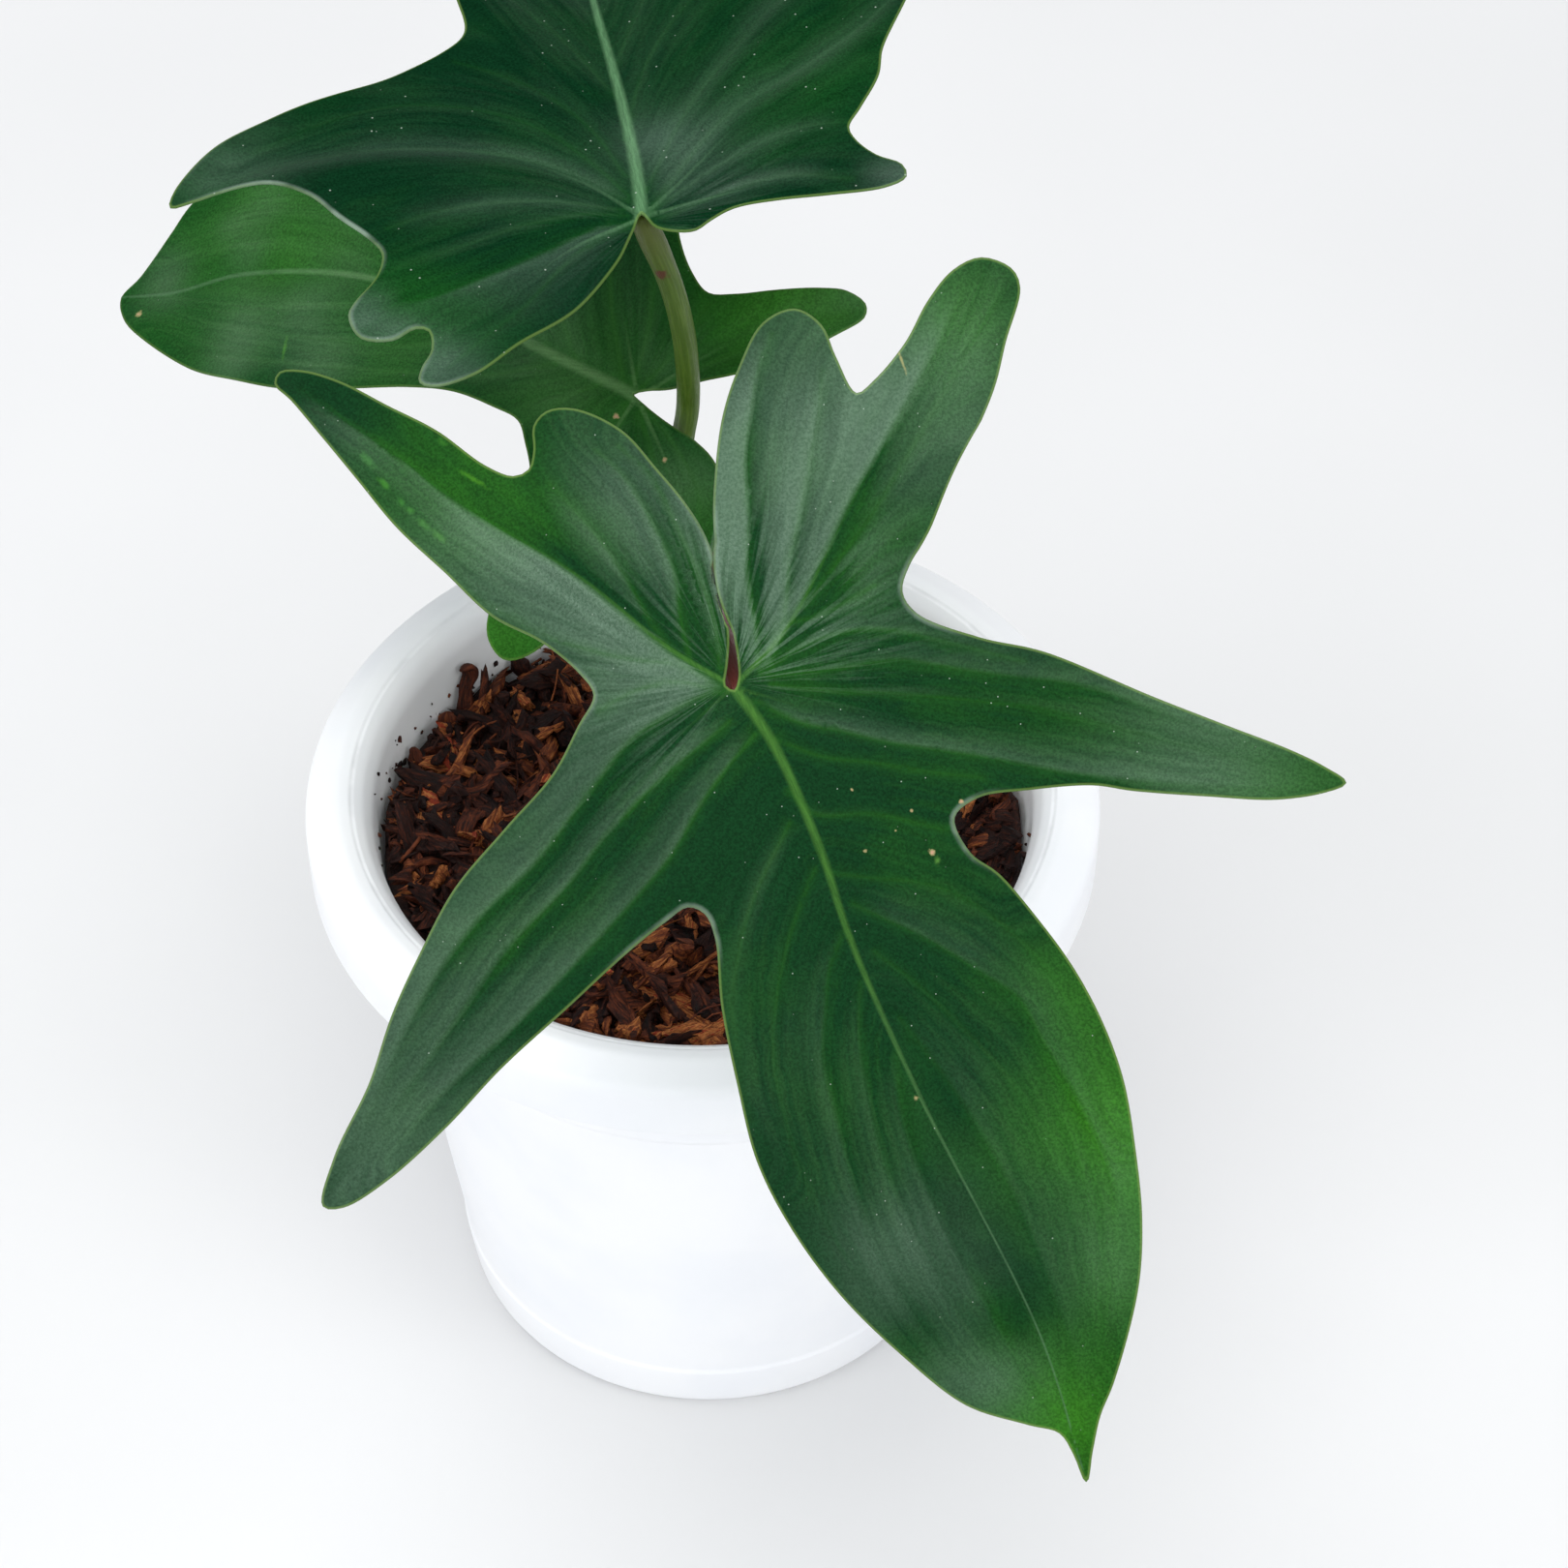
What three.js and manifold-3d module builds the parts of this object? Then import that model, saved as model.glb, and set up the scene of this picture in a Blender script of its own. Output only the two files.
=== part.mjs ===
import * as THREE from 'three';
import { mergeVertices } from 'three/addons/utils/BufferGeometryUtils.js';
import Module from 'manifold-3d';

// Potted oakleaf philodendron, in millimetres with +Z up.
// The origin is the centre of the pot's base. The front blade faces -Y.

// Pot: a nursery pot with a wide rim band that hangs down as a short skirt
const POT_SEGMENTS = 40;
const BASE_RADIUS = 36;
const WALL_TOP_RADIUS = 45;
const WALL_THICKNESS = 1.6;
const FLOOR_THICKNESS = 2.2;
const CREST_RADIUS = 48.6;
const CREST_Z = 94.4;
const RIM_RADIUS = 54;
const RIM_EDGE_Z = 92;
const SKIRT_DEPTH = 8;
const SKIRT_THICKNESS = 1.6;
const DRAIN_HOLE_COUNT = 6;
const DRAIN_HOLE_RADIUS = 3.5;
const DRAIN_RING_RADIUS = 22;

// Bark mix: a filled body with a rough top and shards of bark that stand out of it
const FIT_GAP = 0.35;
const SUBSTRATE_Z = 84.6;
const SUBSTRATE_SLOPE = -0.085;
const SUBSTRATE_RINGS = [38, 31, 23, 14];
const CHIP_COUNT = 64;
const CHIP_SEED = 11;

// Stem: its route from the foot in the bark to the bud, and its nodes as heights
const STEM_ROUTE = [
  [1, 2, 54], [1, 3, 72], [0, 3, 90], [1.2, 5, 101], [-0.6, 7, 111], [-0.8, 8.5, 121], [1.2, 10, 130],
];
const STEM_RADIUS = 3.6;
const STEM_NODES = [91, 101, 111, 121];
const NODE_SWELL = 0.9;
const STEM_HOLE_CLEARANCE = 0.35;

// Petioles: each runs from the stem's axis to its seat under the blade, just ahead of the notch
const PETIOLE_BASE_RADIUS = 2.3;
const PETIOLE_TOP_RADIUS = 1.45;
const PETIOLE_SEAT = 2.5;

// Blades: each is drawn flat, u across and v from the petiole to the tip, then bent by its heights
const BLADE_THICKNESS = 0.8;
const VEIN_KEEL = 0.9;
const VEIN_KEEL_WIDTH = 2.4;
const VEIN_CHANNEL = 0.7;
const VEIN_CHANNEL_WIDTH = 2.6;
const OUTLINE_STEP = 3.4;
const INNER_STEP = 6.6;
const VEIN_STEP = 5;

const FRONT_BLADE = {
  name: 'front',
  attach: [5, -55, 168],
  towardsTip: [0.404, -0.695, -0.595],
  faces: [-0.03, -0.66, 0.75],
  length: 100,
  bend: { tip: 10, base: 14, left: 9, right: 9 },
  fold: 0.9,
  foldWidth: 8,
  petiole: [[1.2, 5, 103], [1, -2, 112], [0.5, -14, 134], [1, -29, 155], [3.2, -42, 164]],
  outline: [
    // notch at the petiole, then the forked basal lobe on the left of the blade
    [0.1, 1], [-0.9, 0], [-1.7, -2], [-2.3, -4.2], [-2.9, -6.8], [-3.6, -10.5], [-4.4, -14],
    [-5.6, -17.7], [-7.5, -21.8], [-11.5, -28.5],
    [-15.5, -33], [-20, -36.5], [-24, -36.5], [-26, -33.5], [-26, -29.5], [-26.5, -24.5], [-29, -25],
    [-34, -27.5], [-38.5, -31], [-42.5, -33], [-46, -33], [-48.5, -30.5], [-48.5, -28], [-44.5, -23],
    [-41, -18.5], [-34, -12], [-28.5, -7], [-24, -4], [-22, -1.5], [-22.5, 1.5],
    // side lobe on the left
    [-28, 7], [-34, 11.5], [-44, 22], [-50, 28], [-55, 33], [-58, 36.5], [-59.5, 39], [-57, 39],
    [-51.5, 37.5], [-44.5, 34], [-37, 30], [-33, 27.5], [-26, 25], [-20.5, 23.5], [-17, 24.5], [-17, 29],
    // terminal lobe
    [-19, 32.5], [-21, 39], [-22.5, 46], [-23, 53], [-22.5, 60], [-20.5, 68], [-18, 75.5], [-14.5, 82.5],
    [-7.5, 91.5], [-4.5, 94.5], [-2, 98], [0, 101], [0, 97.5], [0.5, 94.5], [3.5, 92], [9, 87],
    [13.5, 78.5], [17, 69.5], [19, 60.5], [19.5, 51.5], [18, 42.5], [16, 33.5], [13.5, 26], [13.5, 23],
    [15, 21.5],
    // side lobe on the right
    [18, 22], [23.5, 23.5], [32, 26.4], [42, 29.8], [50.5, 33.4], [59, 36.2], [65, 37], [67, 36],
    [63.5, 31.5], [56.5, 25.5], [51, 19.5], [45.5, 14.5], [38.5, 9], [30.5, 5], [23, 1.5], [18, -2.5],
    [15, -5],
    // forked basal lobe on the right
    [15.5, -8], [18, -13], [22, -18], [25, -25], [28, -32], [30, -39], [32, -46], [33.5, -51],
    [34.5, -53.5], [33.5, -54.5], [31, -53.5], [27.5, -50.5], [23.5, -45.5], [19.5, -40.5], [16, -34.5],
    [13.5, -32], [11.5, -32], [10, -34], [9, -36.5], [7, -37.5], [4, -36.5], [0, -32], [-2, -26],
    [-3.3, -21.4], [-3.9, -17.5], [-3.8, -14], [-3.1, -10.5], [-2.4, -6.8], [-1.4, -4.2], [-0.2, -2],
    [0.9, 0],
  ],
  veins: [
    [[0, 0.5], [-1.5, 8.5], [-1.5, 22], [-0.5, 32.5], [-0.5, 52], [-2, 83], [0, 101]],
    [[0, 0.5], [10, 4], [23.5, 11], [42.5, 23], [56.5, 30.5], [66.5, 36]],
    [[0, 0.5], [-9, 8], [-22.5, 16], [-35, 23.5], [-47, 31.5], [-59, 39]],
    [[0, 0.5], [5, -6.5], [11, -18], [20, -31.5], [26.5, -44.5], [34, -54]],
    [[0, 0.5], [-8, -3], [-17, -10], [-29, -20.5], [-37.5, -26.5], [-47, -31.5]],
  ],
};

const TOP_BLADE = {
  name: 'top',
  attach: [-6, 2, 190],
  towardsTip: [-0.169, 0.976, 0.135],
  faces: [-0.02, -0.14, 0.99],
  length: 90,
  bend: { tip: 22, base: 16, left: 14, right: 12 },
  fold: 1.6,
  foldWidth: 8,
  petiole: [
    [-0.8, 8.5, 120], [-2.6, 9.6, 131], [-2.4, 11.4, 143], [-1.3, 11, 151.5], [-1.2, 9, 160],
    [-1.7, 7.5, 168], [-3.1, 6.3, 176.5],
  ],
  outline: [
    // notch at the petiole, then the forked basal lobe on the left of the blade
    [0, 1.2], [-1.5, -1.5], [-4, -6.5], [-9.5, -13], [-17, -18], [-23, -22], [-27.5, -23], [-29.5, -22],
    [-29, -20], [-27.5, -17.5], [-27.5, -15], [-29, -14.5], [-32, -16], [-35.5, -15.5], [-36.5, -12],
    [-35.5, -10], [-32.5, -6.5], [-31.5, -3], [-33, 0],
    // side lobe on the left
    [-36, 3.5], [-39, 7.5], [-43.5, 10.5], [-49, 10.5], [-53, 9.6], [-55.6, 9], [-54.8, 11.5],
    [-49.5, 17.6], [-42, 22.4], [-33.5, 26], [-26, 29], [-20.5, 32.4], [-17, 37],
    // terminal lobe
    [-17, 44.5], [-18.5, 54], [-19, 62.5], [-17, 71], [-12.5, 79], [-6.5, 86], [-1.5, 92], [0.5, 97],
    [2, 92], [6, 87], [12, 80.5], [17, 73], [19.5, 65], [19.5, 57], [18, 49], [18.5, 43],
    // side lobe on the right
    [22, 41], [29, 43], [37, 47.5], [44, 53], [50, 58], [53.5, 59.5], [52, 55], [48, 47], [43, 38],
    [37.5, 28.5], [33, 20], [31.5, 15], [28.5, 10.5], [26.5, 7.5],
    // short basal lobe on the right
    [27, 5], [29, 2], [31.6, -0.2], [31.8, -2], [29, -3], [22.5, -2.2], [16, -1.4], [11, -1.2], [8, -2.4],
    [6, -3.4], [4, -3], [1.5, -1.5],
  ],
  veins: [
    [[0, 0.5], [0.5, 9], [0.5, 21.5], [0, 42.5], [0, 70], [0.5, 97]],
    [[0, 0.5], [-6.5, 7.5], [-19.5, 14.5], [-34.5, 16], [-46.5, 14], [-55, 8.5]],
    [[0, 0.5], [8, 7.5], [18.5, 18], [30, 33], [42, 47], [53, 59]],
    [[0, 0.5], [-8, -3], [-17, -10], [-24.5, -17], [-29, -22]],
    [[0, 0.5], [7, 1.5], [16.5, 1.5], [31, -2.5]],
  ],
};

const BACK_BLADE = {
  name: 'back',
  attach: [-8, 13, 152],
  towardsTip: [-0.942, 0.325, -0.083],
  faces: [-0.2, -0.35, 0.9],
  length: 70,
  bend: { tip: 12, base: 10, left: 12, right: 12 },
  fold: 0.8,
  foldWidth: 7,
  petiole: [[-0.6, 7, 110], [-4, 13, 116], [-9, 20, 127], [-11.5, 21, 139]],
  outline: [
    // notch at the petiole, then the basal lobe on the near side
    [0.3, 0.6], [-0.9, -1.2], [-3.2, -5.5], [-5, -9.5], [-7.4, -12.8], [-11.5, -15], [-17, -16],
    [-22.5, -16], [-27, -14.5], [-28, -11.5], [-25.5, -7.5], [-21.5, -4], [-19.5, -0.5],
    // side lobe on the near side
    [-22.5, 0.5], [-27, 0.5], [-31.5, 0.5], [-35.5, 1.5], [-38, 4], [-38.5, 6.5], [-36.5, 9],
    [-33.5, 10], [-28.5, 9.5], [-23, 9], [-17.5, 9.5], [-13, 10.5], [-9, 12.5],
    // terminal lobe
    [-6, 14.5], [-4.5, 18.5], [-3, 24.5], [-3, 31.5], [-4, 41.5], [-4.5, 50.5], [-3.5, 58.5], [-2, 66],
    [2.5, 76], [6, 81], [9.5, 83], [12.5, 80.5], [18.5, 77.5], [24, 75], [28, 69.5], [31, 61.5],
    [32, 51], [31.5, 40.5], [29.5, 30.5], [25.5, 23], [24.5, 19.5],
    // side lobe on the far side
    [28.5, 18.5], [34.5, 18.5], [41.5, 18.5], [46, 16.5], [47.5, 13.5], [43, 9], [36, 5.5], [29, 3],
    [22.5, 0.5], [18, -2.5], [15.5, -5.5],
    // basal lobe on the far side
    [16, -9], [17.5, -14], [19, -20], [19.4, -23], [18.4, -25.6], [16.4, -26], [13, -23], [9, -18],
    [5.5, -12.5], [3.5, -7.5], [2, -4], [1.2, -1],
  ],
  veins: [
    [[0, 0], [4.5, 14.5], [7.5, 23.5], [12.5, 43], [12.5, 63], [10, 73.5], [9.5, 83]],
    [[0, 0], [-13.5, 3.5], [-26.5, 4.5], [-37.5, 6.5]],
    [[0, 0], [17.5, 7.5], [31, 10.5], [46.5, 14]],
    [[0, 0], [-9, -7], [-17.5, -12.5], [-26.5, -14]],
    [[0, 0], [10, -11], [17.5, -25]],
  ],
};

const PLASTIC = { color: 0xf3f4f3, roughness: 0.35, metalness: 0 };
const BARK = { color: 0x4a2a18, roughness: 0.95, metalness: 0 };
const STEM_GREEN = { color: 0x6a7a3a, roughness: 0.55, metalness: 0 };
const PETIOLE_GREEN = { color: 0x66743a, roughness: 0.5, metalness: 0 };
const LEAF_GREEN = { color: 0x1f4a26, roughness: 0.42, metalness: 0 };

const wasm = await Module();
wasm.setup();

// Booleans on closed geometry
function toManifold(geometry) {
  const bare = geometry.clone();
  bare.deleteAttribute('normal');
  bare.deleteAttribute('uv');
  const merged = mergeVertices(bare, 1e-4);
  return new wasm.Manifold(new wasm.Mesh({
    numProp: 3,
    vertProperties: new Float32Array(merged.attributes.position.array),
    triVerts: new Uint32Array(merged.index.array),
  }));
}

function fromManifold(solid) {
  const mesh = solid.getMesh();
  const geometry = new THREE.BufferGeometry();
  geometry.setAttribute('position', new THREE.BufferAttribute(new Float32Array(mesh.vertProperties), 3));
  geometry.setIndex(Array.from(mesh.triVerts));
  geometry.computeVertexNormals();
  return geometry;
}

// The outermost closed surface alone: pockets between fused shards are filled, loose scraps go
function outerShell(solid) {
  return solid.decompose().reduce((best, piece) => (piece.volume() > best.volume() ? piece : best));
}

// Repeatable draws between 0 and 1
function seededRandom(seed) {
  let state = seed;
  return () => {
    state = (state * 16807) % 2147483647;
    return state / 2147483647;
  };
}

// A lathe turned from Y up to Z up
function turned(profile, segments) {
  const points = profile.map(([r, z]) => new THREE.Vector2(r, z));
  return new THREE.LatheGeometry(points, segments).rotateX(Math.PI / 2);
}

// Inner wall radius of the pot at a height
function innerRadius(z) {
  const baseInner = BASE_RADIUS - WALL_THICKNESS;
  const share = (z - FLOOR_THICKNESS) / (RIM_EDGE_Z - FLOOR_THICKNESS);
  return baseInner + (WALL_TOP_RADIUS - baseInner) * share;
}

function potGeometry() {
  const skirtBottom = RIM_EDGE_Z - SKIRT_DEPTH;
  const skirtInner = RIM_RADIUS - SKIRT_THICKNESS;
  const underBand = RIM_EDGE_Z - WALL_THICKNESS;
  const wallOuter = WALL_TOP_RADIUS + WALL_THICKNESS;
  const profile = [
    [0, 0],
    [BASE_RADIUS - 1.5, 0],
    [BASE_RADIUS, 1.5],
    [wallOuter, underBand - 1],
    [wallOuter + 1, underBand + 0.4],
    [skirtInner - 1.2, underBand - 0.6],
    [skirtInner, underBand - 1.8],
    [skirtInner, skirtBottom + 0.3],
    [RIM_RADIUS - 0.8, skirtBottom],
    [RIM_RADIUS, skirtBottom + 0.6],
    [RIM_RADIUS, RIM_EDGE_Z - 0.8],
    [RIM_RADIUS - 0.6, RIM_EDGE_Z + 0.2],
    [RIM_RADIUS - 2, RIM_EDGE_Z + 1],
    [CREST_RADIUS + 0.5, CREST_Z],
    [CREST_RADIUS - 0.5, CREST_Z - 0.1],
    [WALL_TOP_RADIUS + 1.2, RIM_EDGE_Z + 1.2],
    [WALL_TOP_RADIUS + 0.2, RIM_EDGE_Z],
    [innerRadius(RIM_EDGE_Z - 3), RIM_EDGE_Z - 3],
    [innerRadius(FLOOR_THICKNESS + 1), FLOOR_THICKNESS + 1],
    [BASE_RADIUS - WALL_THICKNESS - 1, FLOOR_THICKNESS],
    [0, FLOOR_THICKNESS],
  ];
  let pot = toManifold(turned(profile, POT_SEGMENTS));
  for (let i = 0; i < DRAIN_HOLE_COUNT; i += 1) {
    const angle = (i / DRAIN_HOLE_COUNT) * 2 * Math.PI;
    const hole = new THREE.CylinderGeometry(DRAIN_HOLE_RADIUS, DRAIN_HOLE_RADIUS, 4 * FLOOR_THICKNESS, 16);
    hole.rotateX(Math.PI / 2);
    hole.translate(DRAIN_RING_RADIUS * Math.cos(angle), DRAIN_RING_RADIUS * Math.sin(angle), 0);
    pot = pot.subtract(toManifold(hole));
  }
  return fromManifold(pot);
}

// A closed round bar bent along a route, its radius given along the way
function stalkGeometry(route, radiusAt, sides, steps) {
  const curve = new THREE.CatmullRomCurve3(route.map((point) => new THREE.Vector3(...point)));
  const frames = curve.computeFrenetFrames(steps, false);
  const geometry = new THREE.CylinderGeometry(1, 1, 1, sides, steps);
  const position = geometry.attributes.position;
  for (let i = 0; i < position.count; i += 1) {
    const step = Math.round((0.5 - position.getY(i)) * steps);
    const centre = curve.getPointAt(step / steps);
    const radius = radiusAt(step / steps, centre);
    const place = centre.clone();
    place.addScaledVector(frames.normals[step], position.getX(i) * radius);
    place.addScaledVector(frames.binormals[step], position.getZ(i) * radius);
    position.setXYZ(i, place.x, place.y, place.z);
  }
  return geometry;
}

// Stem radius: round nodes stand out, and the top closes to a bud
function stemRadius(along, centre) {
  let swell = 0;
  for (const z of STEM_NODES) {
    swell += NODE_SWELL * Math.exp(-(((centre.z - z) / 1.8) ** 2));
  }
  const bud = Math.sqrt(Math.max(1 - ((along - 0.86) / 0.15) ** 2, 0.02));
  return (STEM_RADIUS + swell) * (along > 0.86 ? bud : 1);
}

function stemGeometry(extra = 0) {
  return stalkGeometry(STEM_ROUTE, (along, centre) => stemRadius(along, centre) + extra, 14, 44);
}

// Petiole radius: a broad foot on the stem, and a rounded end under the blade
function petioleRadius(along) {
  const taper = THREE.MathUtils.lerp(PETIOLE_BASE_RADIUS, PETIOLE_TOP_RADIUS, Math.min(along * 2.5, 1));
  const dome = Math.sqrt(Math.max(1 - ((along - 0.98) / 0.022) ** 2, 0.1));
  return taper * (along > 0.98 ? dome : 1);
}

function petioleGeometry(blade) {
  const seat = bladePoint(blade, 0, PETIOLE_SEAT, 0, -BLADE_THICKNESS - VEIN_KEEL - FIT_GAP);
  const bar = toManifold(stalkGeometry([...blade.petiole, seat.toArray()], petioleRadius, 10, 28));
  return fromManifold(bar.subtract(toManifold(stemGeometry(STEM_HOLE_CLEARANCE))));
}

// Height of the bark's surface, which falls away towards the back of the pot
function barkHeight(x, y) {
  const broad = 1.1 * Math.sin(0.13 * x + 0.6) * Math.cos(0.11 * y - 0.4);
  const rough = 0.5 * Math.sin(0.43 * x + 0.31 * y) + 0.4 * Math.cos(0.52 * y - 0.37 * x + 1);
  return SUBSTRATE_Z + SUBSTRATE_SLOPE * y + broad + rough;
}

// One shard of bark: a flat bar with tapered ends, lying at a slant with its lower half sunk in
function chipGeometry(random) {
  const length = 6 + 8 * random();
  const width = 2.4 + 2.4 * random();
  const chip = new THREE.BoxGeometry(length, width, 1.8);
  const position = chip.attributes.position;
  for (let i = 0; i < position.count; i += 1) {
    const taper = position.getX(i) > 0 ? 0.45 : 0.8;
    position.setY(i, position.getY(i) * taper);
  }
  chip.rotateX((random() - 0.5) * 1.2);
  chip.rotateY((random() - 0.5) * 0.8);
  chip.rotateZ(random() * 2 * Math.PI);
  const reach = innerRadius(SUBSTRATE_Z) - length / 2 - 2;
  const clear = STEM_RADIUS + length / 2 + 1;
  const radius = Math.sqrt(THREE.MathUtils.lerp(clear ** 2, reach ** 2, random()));
  const angle = random() * 2 * Math.PI;
  const x = radius * Math.cos(angle);
  const y = radius * Math.sin(angle);
  chip.translate(x, y, barkHeight(x, y) + 0.2 + 0.5 * random());
  return chip;
}

function substrateGeometry() {
  const bottom = FLOOR_THICKNESS + FIT_GAP;
  const edge = innerRadius(SUBSTRATE_Z) - FIT_GAP;
  const profile = [
    [0, bottom],
    [innerRadius(bottom + 1) - FIT_GAP - 1.2, bottom],
    [innerRadius(bottom + 1) - FIT_GAP, bottom + 1],
    [edge, SUBSTRATE_Z],
  ];
  for (const ring of SUBSTRATE_RINGS) {
    profile.push([ring, SUBSTRATE_Z]);
  }
  profile.push([0, SUBSTRATE_Z]);
  const body = turned(profile, POT_SEGMENTS);
  const position = body.attributes.position;
  for (let i = 0; i < position.count; i += 1) {
    if (position.getZ(i) > SUBSTRATE_Z - 0.1) {
      const x = position.getX(i);
      const y = position.getY(i);
      const z = barkHeight(x, y);
      const onEdge = Math.hypot(x, y) > edge - 0.1;
      const spread = onEdge ? (innerRadius(z) - FIT_GAP) / edge : 1;
      position.setXYZ(i, x * spread, y * spread, z);
    }
  }
  const random = seededRandom(CHIP_SEED);
  let substrate = toManifold(body);
  for (let i = 0; i < CHIP_COUNT; i += 1) {
    substrate = substrate.add(toManifold(chipGeometry(random)));
  }
  substrate = outerShell(substrate).subtract(toManifold(stemGeometry(STEM_HOLE_CLEARANCE)));
  return fromManifold(outerShell(substrate));
}

// The blade's cut edge as a smooth closed line through its landmarks
function edgePoints(outline) {
  const landmarks = outline.map(([u, v]) => new THREE.Vector3(u, v, 0));
  const curve = new THREE.CatmullRomCurve3(landmarks, true, 'centripetal');
  const points = [];
  landmarks.forEach((landmark, i) => {
    const next = landmarks[(i + 1) % landmarks.length];
    const count = Math.max(1, Math.round(landmark.distanceTo(next) / OUTLINE_STEP));
    for (let k = 0; k < count; k += 1) {
      const point = curve.getPoint((i + k / count) / landmarks.length);
      points.push(new THREE.Vector2(point.x, point.y));
    }
  });
  return points;
}

function distanceToSegment(p, a, b) {
  const along = b.clone().sub(a);
  const t = THREE.MathUtils.clamp(p.clone().sub(a).dot(along) / along.lengthSq(), 0, 1);
  return p.distanceTo(a.clone().addScaledVector(along, t));
}

function distanceToVeins(p, veins) {
  let nearest = Infinity;
  for (const vein of veins) {
    for (let i = 1; i < vein.length; i += 1) {
      nearest = Math.min(nearest, distanceToSegment(p, vein[i - 1], vein[i]));
    }
  }
  return nearest;
}

function isInside(p, edge) {
  let inside = false;
  for (let i = 0; i < edge.length; i += 1) {
    const a = edge[i];
    const b = edge[(i + 1) % edge.length];
    const crosses = (a.y > p.y) !== (b.y > p.y);
    if (crosses && p.x < a.x + ((p.y - a.y) * (b.x - a.x)) / (b.y - a.y)) {
      inside = !inside;
    }
  }
  return inside;
}

function clearOfEdge(p, edge, clearance) {
  return edge.every((a, i) => distanceToSegment(p, a, edge[(i + 1) % edge.length]) > clearance);
}

// Points along the veins and on a triangular grid between them
function innerPoints(edge, veins) {
  const points = [];
  const isFree = (p, clearance) => points.every((q) => q.distanceTo(p) > clearance);
  for (const vein of veins) {
    for (let i = 1; i < vein.length; i += 1) {
      const steps = Math.max(1, Math.round(vein[i].distanceTo(vein[i - 1]) / VEIN_STEP));
      for (let k = 0; k < steps; k += 1) {
        const p = vein[i - 1].clone().lerp(vein[i], k / steps);
        if (isInside(p, edge) && clearOfEdge(p, edge, 0.9) && isFree(p, 2)) {
          points.push(p);
        }
      }
    }
  }
  const reach = 130;
  const rowStep = INNER_STEP * Math.sqrt(0.75);
  for (let row = -reach; row < reach; row += rowStep) {
    const shift = Math.round(row / rowStep) % 2 === 0 ? 0 : INNER_STEP / 2;
    for (let x = -reach + shift; x < reach; x += INNER_STEP) {
      const p = new THREE.Vector2(x, row);
      if (isInside(p, edge) && clearOfEdge(p, edge, 0.42 * INNER_STEP) && isFree(p, 0.6 * INNER_STEP)) {
        points.push(p);
      }
    }
  }
  return points;
}

function crossOf(a, b, c) {
  return (b.x - a.x) * (c.y - a.y) - (b.y - a.y) * (c.x - a.x);
}

// True where turning the shared edge a-b of triangles abc and bad gives better shaped triangles
function wantsTurn(a, b, c, d) {
  const cosC = a.clone().sub(c).dot(b.clone().sub(c));
  const cosD = a.clone().sub(d).dot(b.clone().sub(d));
  const sinC = Math.abs(crossOf(c, a, b));
  const sinD = Math.abs(crossOf(d, a, b));
  const convex = crossOf(c, a, d) > 1e-7 && crossOf(d, b, c) > 1e-7;
  return convex && sinC * cosD + cosC * sinD < -1e-9 * (sinC + sinD);
}

// One sweep of edge turns over all the triangles; returns how many were turned
function turnEdges(points, faces) {
  const owners = new Map();
  faces.forEach((face, index) => {
    for (let k = 0; k < 3; k += 1) {
      owners.set(`${face[k]},${face[(k + 1) % 3]}`, [index, face[(k + 2) % 3]]);
    }
  });
  const touched = new Set();
  let turns = 0;
  for (const [key, [first, c]] of owners) {
    const [a, b] = key.split(',').map(Number);
    const other = owners.get(`${b},${a}`);
    if (other && !touched.has(first) && !touched.has(other[0])) {
      const [second, d] = other;
      if (wantsTurn(points[a], points[b], points[c], points[d])) {
        faces[first] = [c, a, d];
        faces[second] = [d, b, c];
        touched.add(first).add(second);
        turns += 1;
      }
    }
  }
  return turns;
}

// Triangles that keep the cut edge and run through every inner point
function bladeTriangles(edge, inner) {
  const points = edge.concat(inner);
  const faces = THREE.ShapeUtils.triangulateShape(edge, []);
  faces.forEach((face, i) => {
    const [a, b, c] = face;
    faces[i] = crossOf(points[a], points[b], points[c]) > 0 ? [a, b, c] : [a, c, b];
  });
  for (let i = edge.length; i < points.length; i += 1) {
    const p = points[i];
    const home = faces.findIndex(([a, b, c]) => (
      crossOf(points[a], points[b], p) >= 0
      && crossOf(points[b], points[c], p) >= 0
      && crossOf(points[c], points[a], p) >= 0
    ));
    const [a, b, c] = faces[home];
    faces[home] = [a, b, i];
    faces.push([b, c, i], [c, a, i]);
  }
  while (turnEdges(points, faces) > 0);
  return { points, faces };
}

// Height of the blade's upper face over its flat drawing
function bladeHeight(blade, u, v, veinDistance) {
  const { bend, fold, foldWidth } = blade;
  const droopAlong = (v > 0 ? bend.tip : bend.base) * (v / blade.length) ** 2;
  const droopAcross = (u < 0 ? bend.left : bend.right) * (u / blade.length) ** 2;
  const rise = fold * (Math.sqrt((u / foldWidth) ** 2 + 1) - 1);
  const channel = VEIN_CHANNEL * Math.exp(-((veinDistance / VEIN_CHANNEL_WIDTH) ** 2));
  return rise - droopAlong - droopAcross - channel;
}

// A point of the blade in the plant's frame, offset from the upper face along the blade's normal
function bladePoint(blade, u, v, veinDistance, offset) {
  const normal = new THREE.Vector3(...blade.faces).normalize();
  const tip = new THREE.Vector3(...blade.towardsTip);
  tip.addScaledVector(normal, -tip.dot(normal)).normalize();
  const across = new THREE.Vector3().crossVectors(tip, normal);
  const point = new THREE.Vector3(...blade.attach).addScaledVector(across, u).addScaledVector(tip, v);
  return point.addScaledVector(normal, bladeHeight(blade, u, v, veinDistance) + offset);
}

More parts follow.
